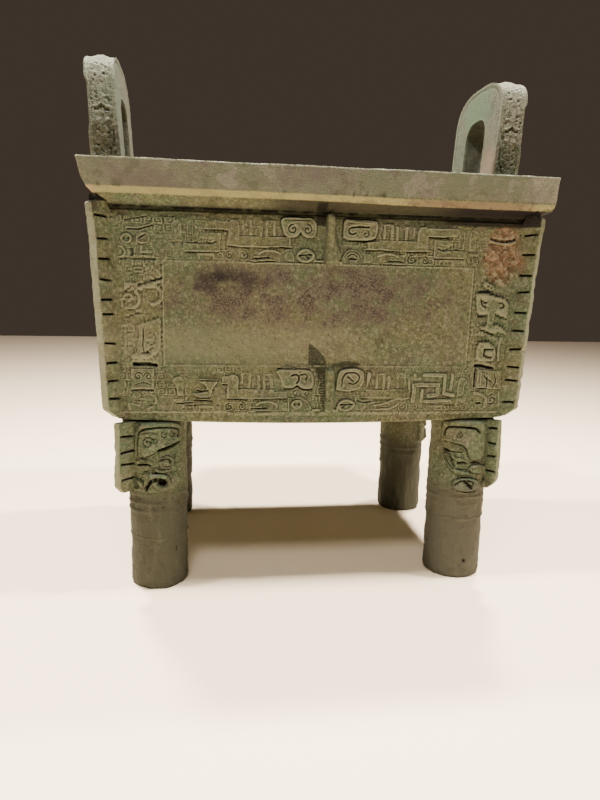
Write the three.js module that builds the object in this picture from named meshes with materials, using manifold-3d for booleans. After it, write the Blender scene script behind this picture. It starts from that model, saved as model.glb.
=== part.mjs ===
// A large four-legged bronze food vessel (a rectangular ding), cast in one piece,
// with two arched ears that were cast on afterwards and stand on the short sides
// of the rim. Millimetres, +Z up. X runs along the long side, the front faces -Y,
// and the origin is on the floor under the middle of the vessel.

import * as THREE from 'three';
import * as BufferGeometryUtils from 'three/addons/utils/BufferGeometryUtils.js';
import Module from 'manifold-3d';

const wasm = await Module();
wasm.setup();

// Driving dimensions.

const rim = { length: 1106, width: 794, top: 1033, ledge: 73, bandFoot: 970, bandInset: 13 };

const belly = { top: 925, bottom: 445, topInset: 46, bottomInset: 66, wall: 25, floor: 24, sag: 14 };

const neck = { inset: 55, top: 940 };

const leg = { x: 398, y: 262, radius: 72, sides: 20, footRounding: 6 };
const legRings = { first: 203, spacing: 22, count: 3, height: 4 };

const mask = { bottom: 262, top: 432, thickness: 8, reachSides: 5 };

const cornerFin = { thickness: 18, root: 12, reach: 34, flare: 11, flareFrom: 897, top: 940, chamfer: 26 };
const cornerSlots = { first: 495, last: 905, count: 10, height: 5, depth: 5, edgeBand: 4 };

const legFin = { thickness: 20, bottom: 264, top: 438, leftReach: 60, rightReach: 44 };
const legSlots = { first: 297, last: 404, count: 4, height: 5, depth: 5, edgeBand: 4 };

const midFin = { thickness: 26, reach: 26, shift: 12, lowTop: 122, highFrom: 368, highTop: 482 };
const midSlots = { margin: 32, count: 2, height: 5, depth: 6, edgeBand: 4 };

const panel = { sideMargin: 116, bottom: 124, top: 366, borderWidth: 7, borderHeight: 4 };

const carving = { height: 6, barWidth: 10, eyeRadius: 11, bury: 4 };

const ear = {
  inner: 482, thickness: 76, topThickness: 70, lean: 0.064, height: 1330,
  footHalf: 155, shoulderHalf: 166, shoulder: 1215, openingHalf: 70, openingTop: 1239,
  openingShoulder: 1184, bevel: 7, gap: 0.3,
};

const bronze = { ears: 0x8f8f78, vessel: 0x6f6f52 };

// Solids: closed three.js geometry goes through manifold-3d to be joined and cut.

function toSolid(geometry) {
  const bare = geometry.clone();
  bare.deleteAttribute('normal');
  bare.deleteAttribute('uv');
  const welded = BufferGeometryUtils.mergeVertices(bare, 1e-4);
  const vertProperties = new Float32Array(welded.attributes.position.array);
  const triVerts = new Uint32Array(welded.index.array);
  return new wasm.Manifold(new wasm.Mesh({ numProp: 3, vertProperties, triVerts }));
}

function toGeometry(solid) {
  const mesh = solid.getMesh();
  const geometry = new THREE.BufferGeometry();
  geometry.setAttribute('position', new THREE.BufferAttribute(mesh.vertProperties, 3));
  geometry.setIndex(new THREE.BufferAttribute(mesh.triVerts, 1));
  geometry.computeVertexNormals();
  return geometry;
}

function join(solids) {
  return solids.reduce((whole, piece) => whole.add(piece));
}

function boxBetween(low, high) {
  const size = high.map((value, axis) => value - low[axis]);
  const middle = high.map((value, axis) => (value + low[axis]) / 2);
  return new THREE.BoxGeometry(...size).translate(...middle);
}

// Belly and rim: one profile of [inset from the rim's outer edge, height], carried
// round the rectangle, from the underside up the outside, over the rim and down
// the inside to the floor of the hollow.

const bodyProfile = [
  [belly.bottomInset, belly.bottom],
  [belly.topInset, belly.top],
  [neck.inset, belly.top + 4],
  [neck.inset, neck.top],
  [neck.inset - 6, neck.top + 4],
  [rim.bandInset + 8, rim.bandFoot - 15],
  [rim.bandInset, rim.bandFoot],
  [0, rim.top],
  [rim.ledge, rim.top],
  [rim.ledge, belly.top],
  [belly.bottomInset + belly.wall, belly.bottom + belly.floor],
];

const longSteps = 6;
const shortSteps = 2;

// One level of the body: a rectangle of points, anticlockwise seen from above.
function rectangleRing(halfLength, halfWidth, z, sag) {
  const points = [];
  const corners = [[-1, -1, longSteps], [1, -1, shortSteps], [1, 1, longSteps], [-1, 1, shortSteps]];
  corners.forEach(([cornerX, cornerY, steps], side) => {
    const [nextX, nextY] = corners[(side + 1) % 4];
    for (let step = 0; step < steps; step += 1) {
      const along = step / steps;
      const x = THREE.MathUtils.lerp(cornerX, nextX, along);
      const y = THREE.MathUtils.lerp(cornerY, nextY, along);
      const droop = sag * (1 - (2 * along - 1) ** 2);
      points.push([x * halfLength, y * halfWidth, z - droop]);
    }
  });
  return points;
}

function bodyGeometry() {
  const rings = bodyProfile.map(([inset, z], level) =>
    rectangleRing(rim.length / 2 - inset, rim.width / 2 - inset, z, level === 0 ? belly.sag : 0));
  const perRing = rings[0].length;
  const points = rings.flat();
  const triangles = [];
  for (let level = 0; level + 1 < rings.length; level += 1) {
    for (let step = 0; step < perRing; step += 1) {
      const a = level * perRing + step;
      const b = level * perRing + (step + 1) % perRing;
      triangles.push(a, b, b + perRing, a, b + perRing, a + perRing);
    }
  }
  const underMiddle = points.push([0, 0, belly.bottom - belly.sag]) - 1;
  const floorMiddle = points.push([0, 0, belly.bottom + belly.floor]) - 1;
  const lastRing = (rings.length - 1) * perRing;
  for (let step = 0; step < perRing; step += 1) {
    const next = (step + 1) % perRing;
    triangles.push(underMiddle, next, step);
    triangles.push(floorMiddle, lastRing + step, lastRing + next);
  }
  const geometry = new THREE.BufferGeometry();
  geometry.setAttribute('position', new THREE.BufferAttribute(new Float32Array(points.flat()), 3));
  geometry.setIndex(triangles);
  return geometry;
}

// Fins: flat plates set on edge, with short slots sunk in both their sides. Their
// outline lies in the plane of reach (outward) and height.

function finFrame(x, y, turn) {
  const outward = new THREE.Vector3(Math.cos(turn), Math.sin(turn), 0);
  const up = new THREE.Vector3(0, 0, 1);
  const across = new THREE.Vector3().crossVectors(outward, up);
  return new THREE.Matrix4().makeBasis(outward, up, across).setPosition(x, y, 0);
}

function fin(outline, thickness, slots, frame) {
  const settings = { depth: thickness, bevelEnabled: false, curveSegments: 3 };
  const plate = new THREE.ExtrudeGeometry(outline, settings);
  plate.translate(0, 0, -thickness / 2);
  let solid = toSolid(plate);
  for (const side of [-1, 1]) {
    for (const slot of slots.places) {
      const depthAt = side * thickness / 2;
      const low = [slot.from, slot.level - slots.height / 2, depthAt - slots.depth];
      const high = [slot.to, slot.level + slots.height / 2, depthAt + slots.depth];
      solid = solid.subtract(toSolid(boxBetween(low, high)));
    }
  }
  return toSolid(toGeometry(solid).applyMatrix4(frame));
}

// Slots evenly spaced from the first level to the last. span gives where a slot at
// a level starts and ends in reach.
function spacedSlots({ first, last, count, height, depth }, span) {
  const places = Array.from({ length: count }, (unused, i) => {
    const level = THREE.MathUtils.lerp(first, last, i / (count - 1));
    const [from, to] = span(level);
    return { level, from, to };
  });
  return { places, height, depth };
}

// How far the belly's corner stands behind its top corner at a height, along the diagonal.
function cornerSetBack(z) {
  const lean = (belly.bottomInset - belly.topInset) / (belly.top - belly.bottom);
  return (belly.top - z) * lean * Math.SQRT2;
}

function cornerFinSolid(signX, signY) {
  const rootAt = (z) => -cornerSetBack(z) - cornerFin.root;
  const tipAt = (z) => cornerFin.reach - cornerSetBack(z);
  const foot = belly.bottom + 2;
  const shoulder = belly.top - 4;
  const outline = new THREE.Shape();
  outline.moveTo(rootAt(foot), foot);
  outline.lineTo(tipAt(foot) - cornerFin.chamfer, foot);
  outline.lineTo(tipAt(foot), foot + cornerFin.chamfer * 0.8);
  outline.lineTo(tipAt(cornerFin.flareFrom), cornerFin.flareFrom);
  const { reach, flare, top } = cornerFin;
  outline.quadraticCurveTo(reach, belly.top - 14, reach + flare, belly.top);
  outline.quadraticCurveTo(reach + flare, top, reach - 4, top);
  outline.lineTo(4, top - 4);
  outline.lineTo(-6, shoulder);
  outline.lineTo(rootAt(shoulder), shoulder);
  const slots = spacedSlots(cornerSlots, (level) =>
    [2 - cornerSetBack(level), tipAt(level) - cornerSlots.edgeBand]);
  const x = signX * (rim.length / 2 - belly.topInset);
  const y = signY * (rim.width / 2 - belly.topInset);
  return fin(outline, cornerFin.thickness, slots, finFrame(x, y, Math.atan2(signY, signX)));
}

function legFinSolid(signX, signY) {
  const reach = leg.radius + (signX < 0 ? legFin.leftReach : legFin.rightReach);
  const root = leg.radius - 20;
  const outline = new THREE.Shape();
  outline.moveTo(root, legFin.bottom);
  outline.lineTo(reach - 12, legFin.bottom);
  outline.quadraticCurveTo(reach, legFin.bottom, reach, legFin.bottom + 14);
  outline.lineTo(reach - 3, legFin.top);
  outline.lineTo(root, legFin.top);
  const slots = spacedSlots(legSlots, () =>
    [leg.radius + mask.thickness + 4, reach - 3 - legSlots.edgeBand]);
  const frame = finFrame(signX * leg.x, signY * leg.y, Math.atan2(signY, signX));
  return fin(outline, legFin.thickness, slots, frame);
}

// Legs: a turned shaft with three raised rings under the mask. The shaft and all
// that is raised on it share the same flat sides, counted from the outer diagonal.

const sideAngle = 2 * Math.PI / leg.sides;

function legShaft(x, y) {
  const { first, spacing, count, height } = legRings;
  const ripple = Array.from({ length: 2 * count + 1 }, (unused, i) =>
    [leg.radius + (i % 2) * height, first + (i - 1) * spacing / 2]);
  const profile = [
    [0, 0],
    [leg.radius - leg.footRounding, 0],
    [leg.radius - 1, leg.footRounding],
    [leg.radius, leg.footRounding * 2.5],
    ...ripple,
    [leg.radius, belly.bottom + 6],
    [0, belly.bottom + 6],
  ];
  const shaft = new THREE.LatheGeometry(profile.map(([r, z]) => new THREE.Vector2(r, z)), leg.sides);
  return toSolid(shaft.rotateX(Math.PI / 2).rotateZ(Math.PI / 4).translate(x, y, 0));
}

// A raised bar that follows the leg's face, between two heights and from one side's
// edge to another's.
function legBar(signX, signY, fromSide, toSide, low, high, thickness) {
  const diagonal = Math.atan2(signY, signX);
  const from = diagonal + fromSide * sideAngle;
  const to = diagonal + toSide * sideAngle;
  const section = new THREE.Shape();
  section.absarc(0, 0, leg.radius + thickness, from, to, false);
  section.absarc(0, 0, leg.radius - carving.bury, to, from, true);
  const bar = new THREE.ExtrudeGeometry(section, {
    depth: high - low, bevelEnabled: false, curveSegments: toSide - fromSide,
  });
  return toSolid(bar.translate(signX * leg.x, signY * leg.y, low));
}

// Half of the beast mask, beside the fin: where each raised feature starts and ends,
// in sides round the leg and in height, and how far it stands out of the mask.
// The two rear legs have the main strokes only.
const mainStrokes = [
  { name: 'horn top', from: 1, to: 4, low: 410, high: 425, out: 6 },
  { name: 'horn end', from: 3, to: 4, low: 376, high: 410, out: 6 },
  { name: 'snout', from: 1, to: 3, low: 274, high: 304, out: 9 },
];
const finerStrokes = [
  { name: 'horn root', from: 1, to: 2, low: 356, high: 410, out: 6 },
  { name: 'eye', from: 2, to: 3, low: 324, high: 342, out: 7 },
];

function legMask(signX, signY) {
  const { bottom, top, thickness, reachSides } = mask;
  const ground = legBar(signX, signY, -reachSides, reachSides, bottom, top, thickness);
  const strokes = signY < 0 ? [...mainStrokes, ...finerStrokes] : mainStrokes;
  const features = strokes.flatMap(({ from, to, low, high, out }) => [
    legBar(signX, signY, from, to, low, high, thickness + out),
    legBar(signX, signY, -to, -from, low, high, thickness + out),
  ]);
  return join([ground, ...features]);
}

// Belly carving. Each face has its own frame: u across from the middle, v up the
// slope from the bottom edge, w outward. Left and right halves mirror each other.
// The front has all of it, and the other three faces the main strokes only.

const bottomHalfLength = rim.length / 2 - belly.bottomInset;
const bottomHalfWidth = rim.width / 2 - belly.bottomInset;
const faces = [0, 90, 180, 270].map((turn) => {
  const long = turn % 180 === 0;
  return {
    turn,
    halfAcross: long ? bottomHalfLength : bottomHalfWidth,
    depth: long ? bottomHalfWidth : bottomHalfLength,
    shift: turn === 0 ? midFin.shift : 0,
    plain: turn !== 0,
  };
});

function faceFrame(face) {
  const lean = Math.atan((belly.bottomInset - belly.topInset) / (belly.top - belly.bottom));
  const turned = new THREE.Matrix4().makeRotationZ(THREE.MathUtils.degToRad(face.turn));
  const stood = new THREE.Matrix4().makeRotationX(Math.PI / 2 + lean);
  const moved = new THREE.Matrix4().makeTranslation(0, -face.depth, belly.bottom);
  return turned.multiply(moved).multiply(stood);
}

// A raised bar between two corners, given in either order.
function faceBar(u0, u1, v0, v1, height) {
  const low = [Math.min(u0, u1), Math.min(v0, v1), -carving.bury];
  const high = [Math.max(u0, u1), Math.max(v0, v1), height];
  return boxBetween(low, high);
}

function faceEye(u, v) {
  const depth = carving.height + carving.bury + 2;
  const disc = new THREE.CylinderGeometry(carving.eyeRadius, carving.eyeRadius + 2, depth, 6);
  return disc.rotateX(Math.PI / 2).translate(u, v, depth / 2 - carving.bury);
}

// A band half, from the middle fin outward: a horn that curls down, then a dragon
// with a long body and a hooked tail. u is counted from the fin, and v away from
// the panel, toward the rim on the upper band and the bottom edge on the lower.
function bandHalf(length, plain) {
  const w = carving.barWidth;
  const main = [
    [32, 100, 90, 90 + w],
    [90, 100, 58, 90],
    [118, length, 84, 84 + w],
    [length - w, length, 30, 84],
  ];
  const finer = [
    [32, 32 + w, 44, 90],
    [136, length - w, 30, 30 + w],
  ];
  return plain ? main : [...main, ...finer];
}

const bandEye = { u: 66, v: 28 };

function bandCarving(face) {
  const length = face.halfAcross - panel.sideMargin - midFin.shift;
  const bands = [{ inner: panel.top, away: 1 }, { inner: panel.bottom, away: -1 }];
  const pieces = [];
  for (const side of [-1, 1]) {
    for (const { inner, away } of bands) {
      for (const [fromU, toU, fromV, toV] of bandHalf(length, face.plain)) {
        const u = (value) => face.shift + side * value;
        const v = (value) => inner + away * value;
        pieces.push(faceBar(u(fromU), u(toU), v(fromV), v(toV), carving.height));
      }
      pieces.push(faceEye(face.shift + side * bandEye.u, inner + away * bandEye.v));
    }
  }
  return pieces;
}

// The upright strip between the centre panel and a corner: a mask with a brow and
// two eyes, and a dragon's upright body that hooks under it.
function columnCarving(face) {
  const middle = face.halfAcross - 58;
  const main = [[-32, 30, 446, 456], [-30, -20, 178, 384]];
  const finer = [[-20, 26, 178, 188], [18, 28, 230, 352]];
  const bars = face.plain ? main : [...main, ...finer];
  const pieces = [];
  for (const side of [-1, 1]) {
    for (const [fromU, toU, fromV, toV] of bars) {
      const u = (value) => side * (middle + value);
      pieces.push(faceBar(u(fromU), u(toU), fromV, toV, carving.height));
    }
    if (!face.plain) {
      pieces.push(faceEye(side * (middle - 21), 416), faceEye(side * (middle + 21), 416));
    }
  }
  return pieces;
}

// A thin raised line round the plain centre panel.
function panelBorder(face) {
  const half = face.halfAcross - panel.sideMargin;
  const { bottom, top, borderWidth: width, borderHeight: height } = panel;
  return [
    faceBar(-half, half, top, top + width, height),
    faceBar(-half, half, bottom - width, bottom, height),
    faceBar(-half - width, -half, bottom - width, top + width, height),
    faceBar(half, half + width, bottom - width, top + width, height),
  ];
}

// The two short fins in the middle of a face, above and below the panel.
function middleFins(face) {
  const outward = new THREE.Vector3(0, 0, 1);
  const up = new THREE.Vector3(0, 1, 0);
  const across = new THREE.Vector3(-1, 0, 0);
  const stood = new THREE.Matrix4().makeBasis(outward, up, across).setPosition(face.shift, 0, 0);
  const frame = faceFrame(face).multiply(stood);
  return [[4, midFin.lowTop], [midFin.highFrom, midFin.highTop]].map(([low, high]) => {
    const outline = new THREE.Shape();
    outline.moveTo(-carving.bury, low);
    outline.lineTo(midFin.reach - 6, low);
    outline.lineTo(midFin.reach, low + 8);
    outline.lineTo(midFin.reach, high - 12);
    outline.lineTo(midFin.reach - 8, high);
    outline.lineTo(-carving.bury, high);
    const ends = { first: low + midSlots.margin, last: high - midSlots.margin };
    const count = face.plain ? 0 : midSlots.count;
    const slots = spacedSlots({ ...midSlots, ...ends, count }, () =>
      [midSlots.edgeBand, midFin.reach - midSlots.edgeBand]);
    return fin(outline, midFin.thickness, slots, frame);
  });
}

function faceCarving(face) {
  const flat = [...bandCarving(face), ...columnCarving(face), ...panelBorder(face)];
  const frame = faceFrame(face);
  return join([...flat.map((piece) => toSolid(piece.applyMatrix4(frame))), ...middleFins(face)]);
}

function vesselSolid() {
  const pieces = [toSolid(bodyGeometry()), ...faces.map(faceCarving)];
  for (const signX of [-1, 1]) {
    for (const signY of [-1, 1]) {
      pieces.push(cornerFinSolid(signX, signY));
      pieces.push(legShaft(signX * leg.x, signY * leg.y));
      pieces.push(legMask(signX, signY));
      pieces.push(legFinSolid(signX, signY));
    }
  }
  // Where faces just touch, a join can leave a loose sliver: only the casting is kept.
  const bodies = join(pieces).decompose();
  return bodies.reduce((largest, body) => (body.volume() > largest.volume() ? body : largest));
}

// Ears: an arch that stands on the rim. Its outer and inner outlines are upright
// sides under half a superellipse, and bevelled sections run between them.

const outerArch = {
  footHalf: ear.footHalf, shoulderHalf: ear.shoulderHalf,
  shoulder: ear.shoulder, top: ear.height, roundness: 3,
};
const innerArch = {
  footHalf: ear.openingHalf, shoulderHalf: ear.openingHalf + 2,
  shoulder: ear.openingShoulder, top: ear.openingTop, roundness: 2.6,
};
const earFoot = rim.top + ear.gap;

// The point a share of the way along an arch, from one foot (0) to the other (1).
function archPoint({ footHalf, shoulderHalf, shoulder, top, roundness }, along) {
  const sideShare = 0.3;
  const side = Math.sign(along - 0.5);
  const fromFoot = Math.min(along, 1 - along) / sideShare;
  if (fromFoot < 1) {
    const half = THREE.MathUtils.lerp(footHalf, shoulderHalf, fromFoot);
    return [side * half, THREE.MathUtils.lerp(earFoot, shoulder, fromFoot)];
  }
  const angle = Math.PI * (1 - (along - sideShare) / (1 - 2 * sideShare));
  const round = (value) => Math.sign(value) * Math.abs(value) ** (2 / roundness);
  return [shoulderHalf * round(Math.cos(angle)), shoulder + (top - shoulder) * round(Math.sin(angle))];
}

function earGeometry(side) {
  const stations = 22;
  const points = [];
  for (let station = 0; station <= stations; station += 1) {
    const along = station / stations;
    const outer = archPoint(outerArch, along);
    const inner = archPoint(innerArch, along);
    const depth = Math.hypot(outer[0] - inner[0], outer[1] - inner[1]);
    const at = (share, face) => {
      const y = THREE.MathUtils.lerp(inner[0], outer[0], share);
      const z = THREE.MathUtils.lerp(inner[1], outer[1], share);
      const rise = (z - rim.top) / (ear.height - rim.top);
      const thickness = THREE.MathUtils.lerp(ear.thickness, ear.topThickness, rise);
      const x = ear.inner + ear.lean * (z - rim.top) + face(thickness);
      return [side * x, y, z];
    };
    const bevel = ear.bevel / depth;
    const near = () => 0;
    const far = (thickness) => thickness;
    const nearIn = () => ear.bevel;
    const farIn = (thickness) => thickness - ear.bevel;
    points.push(
      at(bevel, near), at(0, nearIn), at(0, farIn), at(bevel, far),
      at(1 - bevel, far), at(1, farIn), at(1, nearIn), at(1 - bevel, near));
  }
  const ring = 8;
  const triangles = [];
  for (let station = 0; station < stations; station += 1) {
    for (let corner = 0; corner < ring; corner += 1) {
      const a = station * ring + corner;
      const b = station * ring + (corner + 1) % ring;
      triangles.push(a, b, b + ring, a, b + ring, a + ring);
    }
  }
  const last = stations * ring;
  for (let corner = 1; corner + 1 < ring; corner += 1) {
    triangles.push(0, corner + 1, corner);
    triangles.push(last, last + corner, last + corner + 1);
  }
  const geometry = new THREE.BufferGeometry();
  geometry.setAttribute('position', new THREE.BufferAttribute(new Float32Array(points.flat()), 3));
  geometry.setIndex(side < 0 ? triangles : triangles.reverse());
  geometry.computeVertexNormals();
  return geometry;
}

// The finished object.

function bronzeMaterial(color) {
  return new THREE.MeshStandardMaterial({ color, roughness: 0.62, metalness: 0.55 });
}

function named(name, geometry, material) {
  const mesh = new THREE.Mesh(geometry, material);
  mesh.name = name;
  return mesh;
}

const ding = new THREE.Group();
ding.add(named('vessel', toGeometry(vesselSolid()), bronzeMaterial(bronze.vessel)));
ding.add(named('left_ear', earGeometry(-1), bronzeMaterial(bronze.ears)));
ding.add(named('right_ear', earGeometry(1), bronzeMaterial(bronze.ears)));

export default ding;
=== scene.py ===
import bpy
import numpy as np
from math import cos, sin, pi, radians
from mathutils import Matrix, Vector


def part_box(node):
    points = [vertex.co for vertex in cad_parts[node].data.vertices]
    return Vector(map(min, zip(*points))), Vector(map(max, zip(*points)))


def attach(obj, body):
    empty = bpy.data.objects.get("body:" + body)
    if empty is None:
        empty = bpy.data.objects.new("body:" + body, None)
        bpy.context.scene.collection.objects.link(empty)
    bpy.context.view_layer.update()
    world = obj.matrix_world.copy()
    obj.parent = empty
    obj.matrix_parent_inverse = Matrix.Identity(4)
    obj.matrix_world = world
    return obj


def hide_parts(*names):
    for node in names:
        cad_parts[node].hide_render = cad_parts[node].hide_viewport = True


# A large four-legged bronze ding. Shapes are worked out in millimetres and
# turned into metres when their mesh is made.

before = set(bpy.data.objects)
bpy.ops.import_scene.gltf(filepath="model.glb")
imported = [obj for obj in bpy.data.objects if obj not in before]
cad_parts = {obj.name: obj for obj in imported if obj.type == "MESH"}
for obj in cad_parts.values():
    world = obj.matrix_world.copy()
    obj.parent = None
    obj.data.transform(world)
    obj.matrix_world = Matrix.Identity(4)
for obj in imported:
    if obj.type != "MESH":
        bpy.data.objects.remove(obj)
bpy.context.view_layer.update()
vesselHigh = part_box("vessel")[1]
mm = 0.001
chance = np.random.default_rng(1939)
lattice = chance.random((40, 40, 40)) * 2 - 1
print("frame loaded")


# Numbers and small shape helpers

def stepUp(low, high, value):
    # 0 below low, 1 above high, and a smooth S between them
    share = np.clip((value - low) / (high - low), 0, 1)
    return share * share * (3 - 2 * share)


def stepDown(low, high, value):
    return 1 - stepUp(low, high, value)


def lumps(x, y, z, size, shift=0.0):
    # smooth random field from -1 to 1: random values at cube corners, blended in three directions
    place = np.stack(np.broadcast_arrays(x, y, z)) / size + shift + 500.0
    base = np.floor(place).astype(int)
    part = place - base
    part = part * part * (3 - 2 * part)
    low, high = base % 40, (base + 1) % 40
    total = 0.0
    for i in (0, 1):
        for j in (0, 1):
            for k in (0, 1):
                pick = [(high if side else low)[axis] for axis, side in enumerate((i, j, k))]
                share = np.prod([part[axis] if side else 1 - part[axis]
                                 for axis, side in enumerate((i, j, k))], axis=0)
                total = total + lattice[pick[0], pick[1], pick[2]] * share
    return total


def smoothLine(points, rounds=2):
    # cuts every corner of an open line at a quarter of its legs, so that it bends softly
    points = np.array(points, float)
    for _ in range(rounds):
        first, second = points[:-1], points[1:]
        cut = np.stack([first * 0.75 + second * 0.25, first * 0.25 + second * 0.75], 1).reshape(-1, 2)
        points = np.concatenate([points[:1], cut, points[-1:]])
    return points


def lineDistance(u, v, points):
    # distance to the nearest leg of a line of points
    nearest = np.full(u.shape, 1e9)
    for (au, av), (bu, bv) in zip(points[:-1], points[1:]):
        du, dv = bu - au, bv - av
        along = np.clip(((u - au) * du + (v - av) * dv) / (du * du + dv * dv + 1e-9), 0, 1)
        nearest = np.minimum(nearest, np.hypot(u - au - along * du, v - av - along * dv))
    return nearest


def insideOutline(u, v, points):
    # true where a ray to the right crosses the closed outline an odd number of times
    inside = np.zeros(u.shape, bool)
    for (au, av), (bu, bv) in zip(points, np.roll(points, -1, axis=0)):
        crosses = (av > v) != (bv > v)
        meeting = au + (v - av) / (bv - av + 1e-9) * (bu - au)
        inside ^= crosses & (u < meeting)
    return inside


def settled(values, passes):
    # each height drawn towards its four neighbours, a few times over
    for _ in range(passes):
        padded = np.pad(values, 1, mode="edge")
        values = (padded[:-2, 1:-1] + padded[2:, 1:-1] + padded[1:-1, :-2] + padded[1:-1, 2:]
                  + 2 * values) / 6
    return values


def thunderGround(u, v, width, height, turns):
    # square spirals in rows of cells: the wave follows the larger of the two
    # distances from a cell's middle, plus the share of a turn round it
    column, row = np.floor(u / width), np.floor(v / height)
    p = (u / width - column) * 2 - 1
    q = (v / height - row) * 2 - 1
    p = np.where((column + row) % 2 > 0.5, -p, p)
    out = np.maximum(np.abs(p), np.abs(q))
    return 0.5 + 0.5 * np.cos(2 * pi * (out * turns + np.arctan2(q, p) / (2 * pi)))


class Carving:
    # a field of heights over two coordinates; strokes are laid on it one after another
    def __init__(self, u, v):
        self.u, self.v = u, v
        self.height = np.zeros(u.shape)
        self.place()

    def place(self, middle=0.0, foot=0.0, side=1, stretch=1.0):
        # where the next strokes' own points lie: mirrored by side, stretched beyond 120
        self.frame = middle, foot, side, stretch

    def put(self, points):
        middle, foot, side, stretch = self.frame
        u, v = np.reshape(points, (-1, 2)).T.astype(float)
        return np.stack([middle + side * np.where(u < 120, u, 120 + (u - 120) * stretch), foot + v], 1)

    def line(self, points, soft):
        points = self.put(points)
        return smoothLine(points) if soft else points

    def near(self, points, reach):
        low, high = np.min(points, axis=0) - reach, np.max(points, axis=0) + reach
        return (self.u > low[0]) & (self.u < high[0]) & (self.v > low[1]) & (self.v < high[1])

    def bar(self, points, width, height, slope=1.9, soft=False):
        # raised strip: full height within half its width of the line, then down a slope
        line = self.line(points, soft)
        here = self.near(line, width + slope)
        away = lineDistance(self.u[here], self.v[here], line)
        rise = height * stepDown(width / 2 - slope / 2, width / 2 + slope / 2, away)
        self.height[here] = np.maximum(self.height[here], rise)

    def add(self, line, width, height):
        # thin line added on whatever is there, highest on the line
        here = self.near(line, width)
        away = lineDistance(self.u[here], self.v[here], line)
        self.height[here] += height * stepDown(0.2 * width, 0.62 * width, away)

    def ridge(self, points, width, height, soft=False):
        self.add(self.line(points, soft), width, height)

    def groove(self, points, width, depth, soft=False):
        self.ridge(points, width, -depth, soft)

    def step(self, points, height=1.8, depth=2.4):
        # worn edge: a raised line with a cut along its lower side
        self.ridge(points, 3.0, height, True)
        self.groove(np.reshape(points, (-1, 2)) - (0, 3.4), 4.0, depth, True)

    def curl(self, centre, radius, start, turns, width, depth):
        # spiral cut that winds in from its outer end; start is in degrees
        t = np.linspace(0, 1, 13)
        angle, out = radians(start) + turns * 2 * pi * t, radius * (1 - 0.8 * t)
        u, v = self.put(centre)[0]
        self.add(np.stack([u + out * np.cos(angle), v + out * np.sin(angle)], 1), width, -depth)

    def plate(self, points, height, slope=2.0, soft=True):
        # raised area: full height inside the outline, down a slope at its edge
        points = self.put(points)
        if soft:
            points = smoothLine(np.concatenate([points, points[:1]]))
        here = self.near(points, slope)
        u, v = self.u[here], self.v[here]
        away = lineDistance(u, v, np.concatenate([points, points[:1]]))
        away = np.where(insideOutline(u, v, points), -away, away)
        self.height[here] = np.maximum(self.height[here], height * stepDown(-slope / 2, slope / 2, away))

    def clear(self, low, high, share=0.1, depth=0.0):
        # rectangle taken back to a share of its height, and sunk a little
        inside = stepUp(low[0] - 1, low[0] + 1, self.u) * stepDown(high[0] - 1, high[0] + 1, self.u)
        inside *= stepUp(low[1] - 1, low[1] + 1, self.v) * stepDown(high[1] - 1, high[1] + 1, self.v)
        self.height = self.height * (1 - inside * (1 - share)) - depth * inside

    def eye(self, centre, halfWidth, halfHeight, height, slit=0.0, tilt=0.0):
        # oval boss with a raised ring round a shallow dish, and a cut across its middle
        centre = self.put(centre)[0]
        here = self.near([centre], max(halfWidth, halfHeight) * 1.6)
        du, dv = self.u[here] - centre[0], self.v[here] - centre[1]
        du, dv = du * cos(tilt) + dv * sin(tilt), dv * cos(tilt) - du * sin(tilt)
        out = np.hypot(du / halfWidth, dv / halfHeight)
        rise = height * stepDown(0.94, 1.12, out) - 0.5 * height * stepDown(0.60, 0.80, out)
        rise += 0.4 * height * stepDown(0.1, 0.5, out)
        self.height[here] = np.where(out < 1.14, np.maximum(rise, self.height[here] * (out > 0.9)),
                                     self.height[here])
        if slit:
            cut = stepDown(0.4, 0.62, np.abs(du / halfWidth)) * stepDown(0.14, 0.34, np.abs(dv / halfHeight))
            self.height[here] -= slit * cut


def hollowness(height, sharp=1.0, broad=2.4):
    # how far each point lies below the ground round it: crisp steps and wide dips together
    near, wide = settled(height, 3) - height, settled(height, 14) - height
    return np.clip(0.65 * near / sharp + 0.5 * wide / broad, -1, 1)


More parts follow.
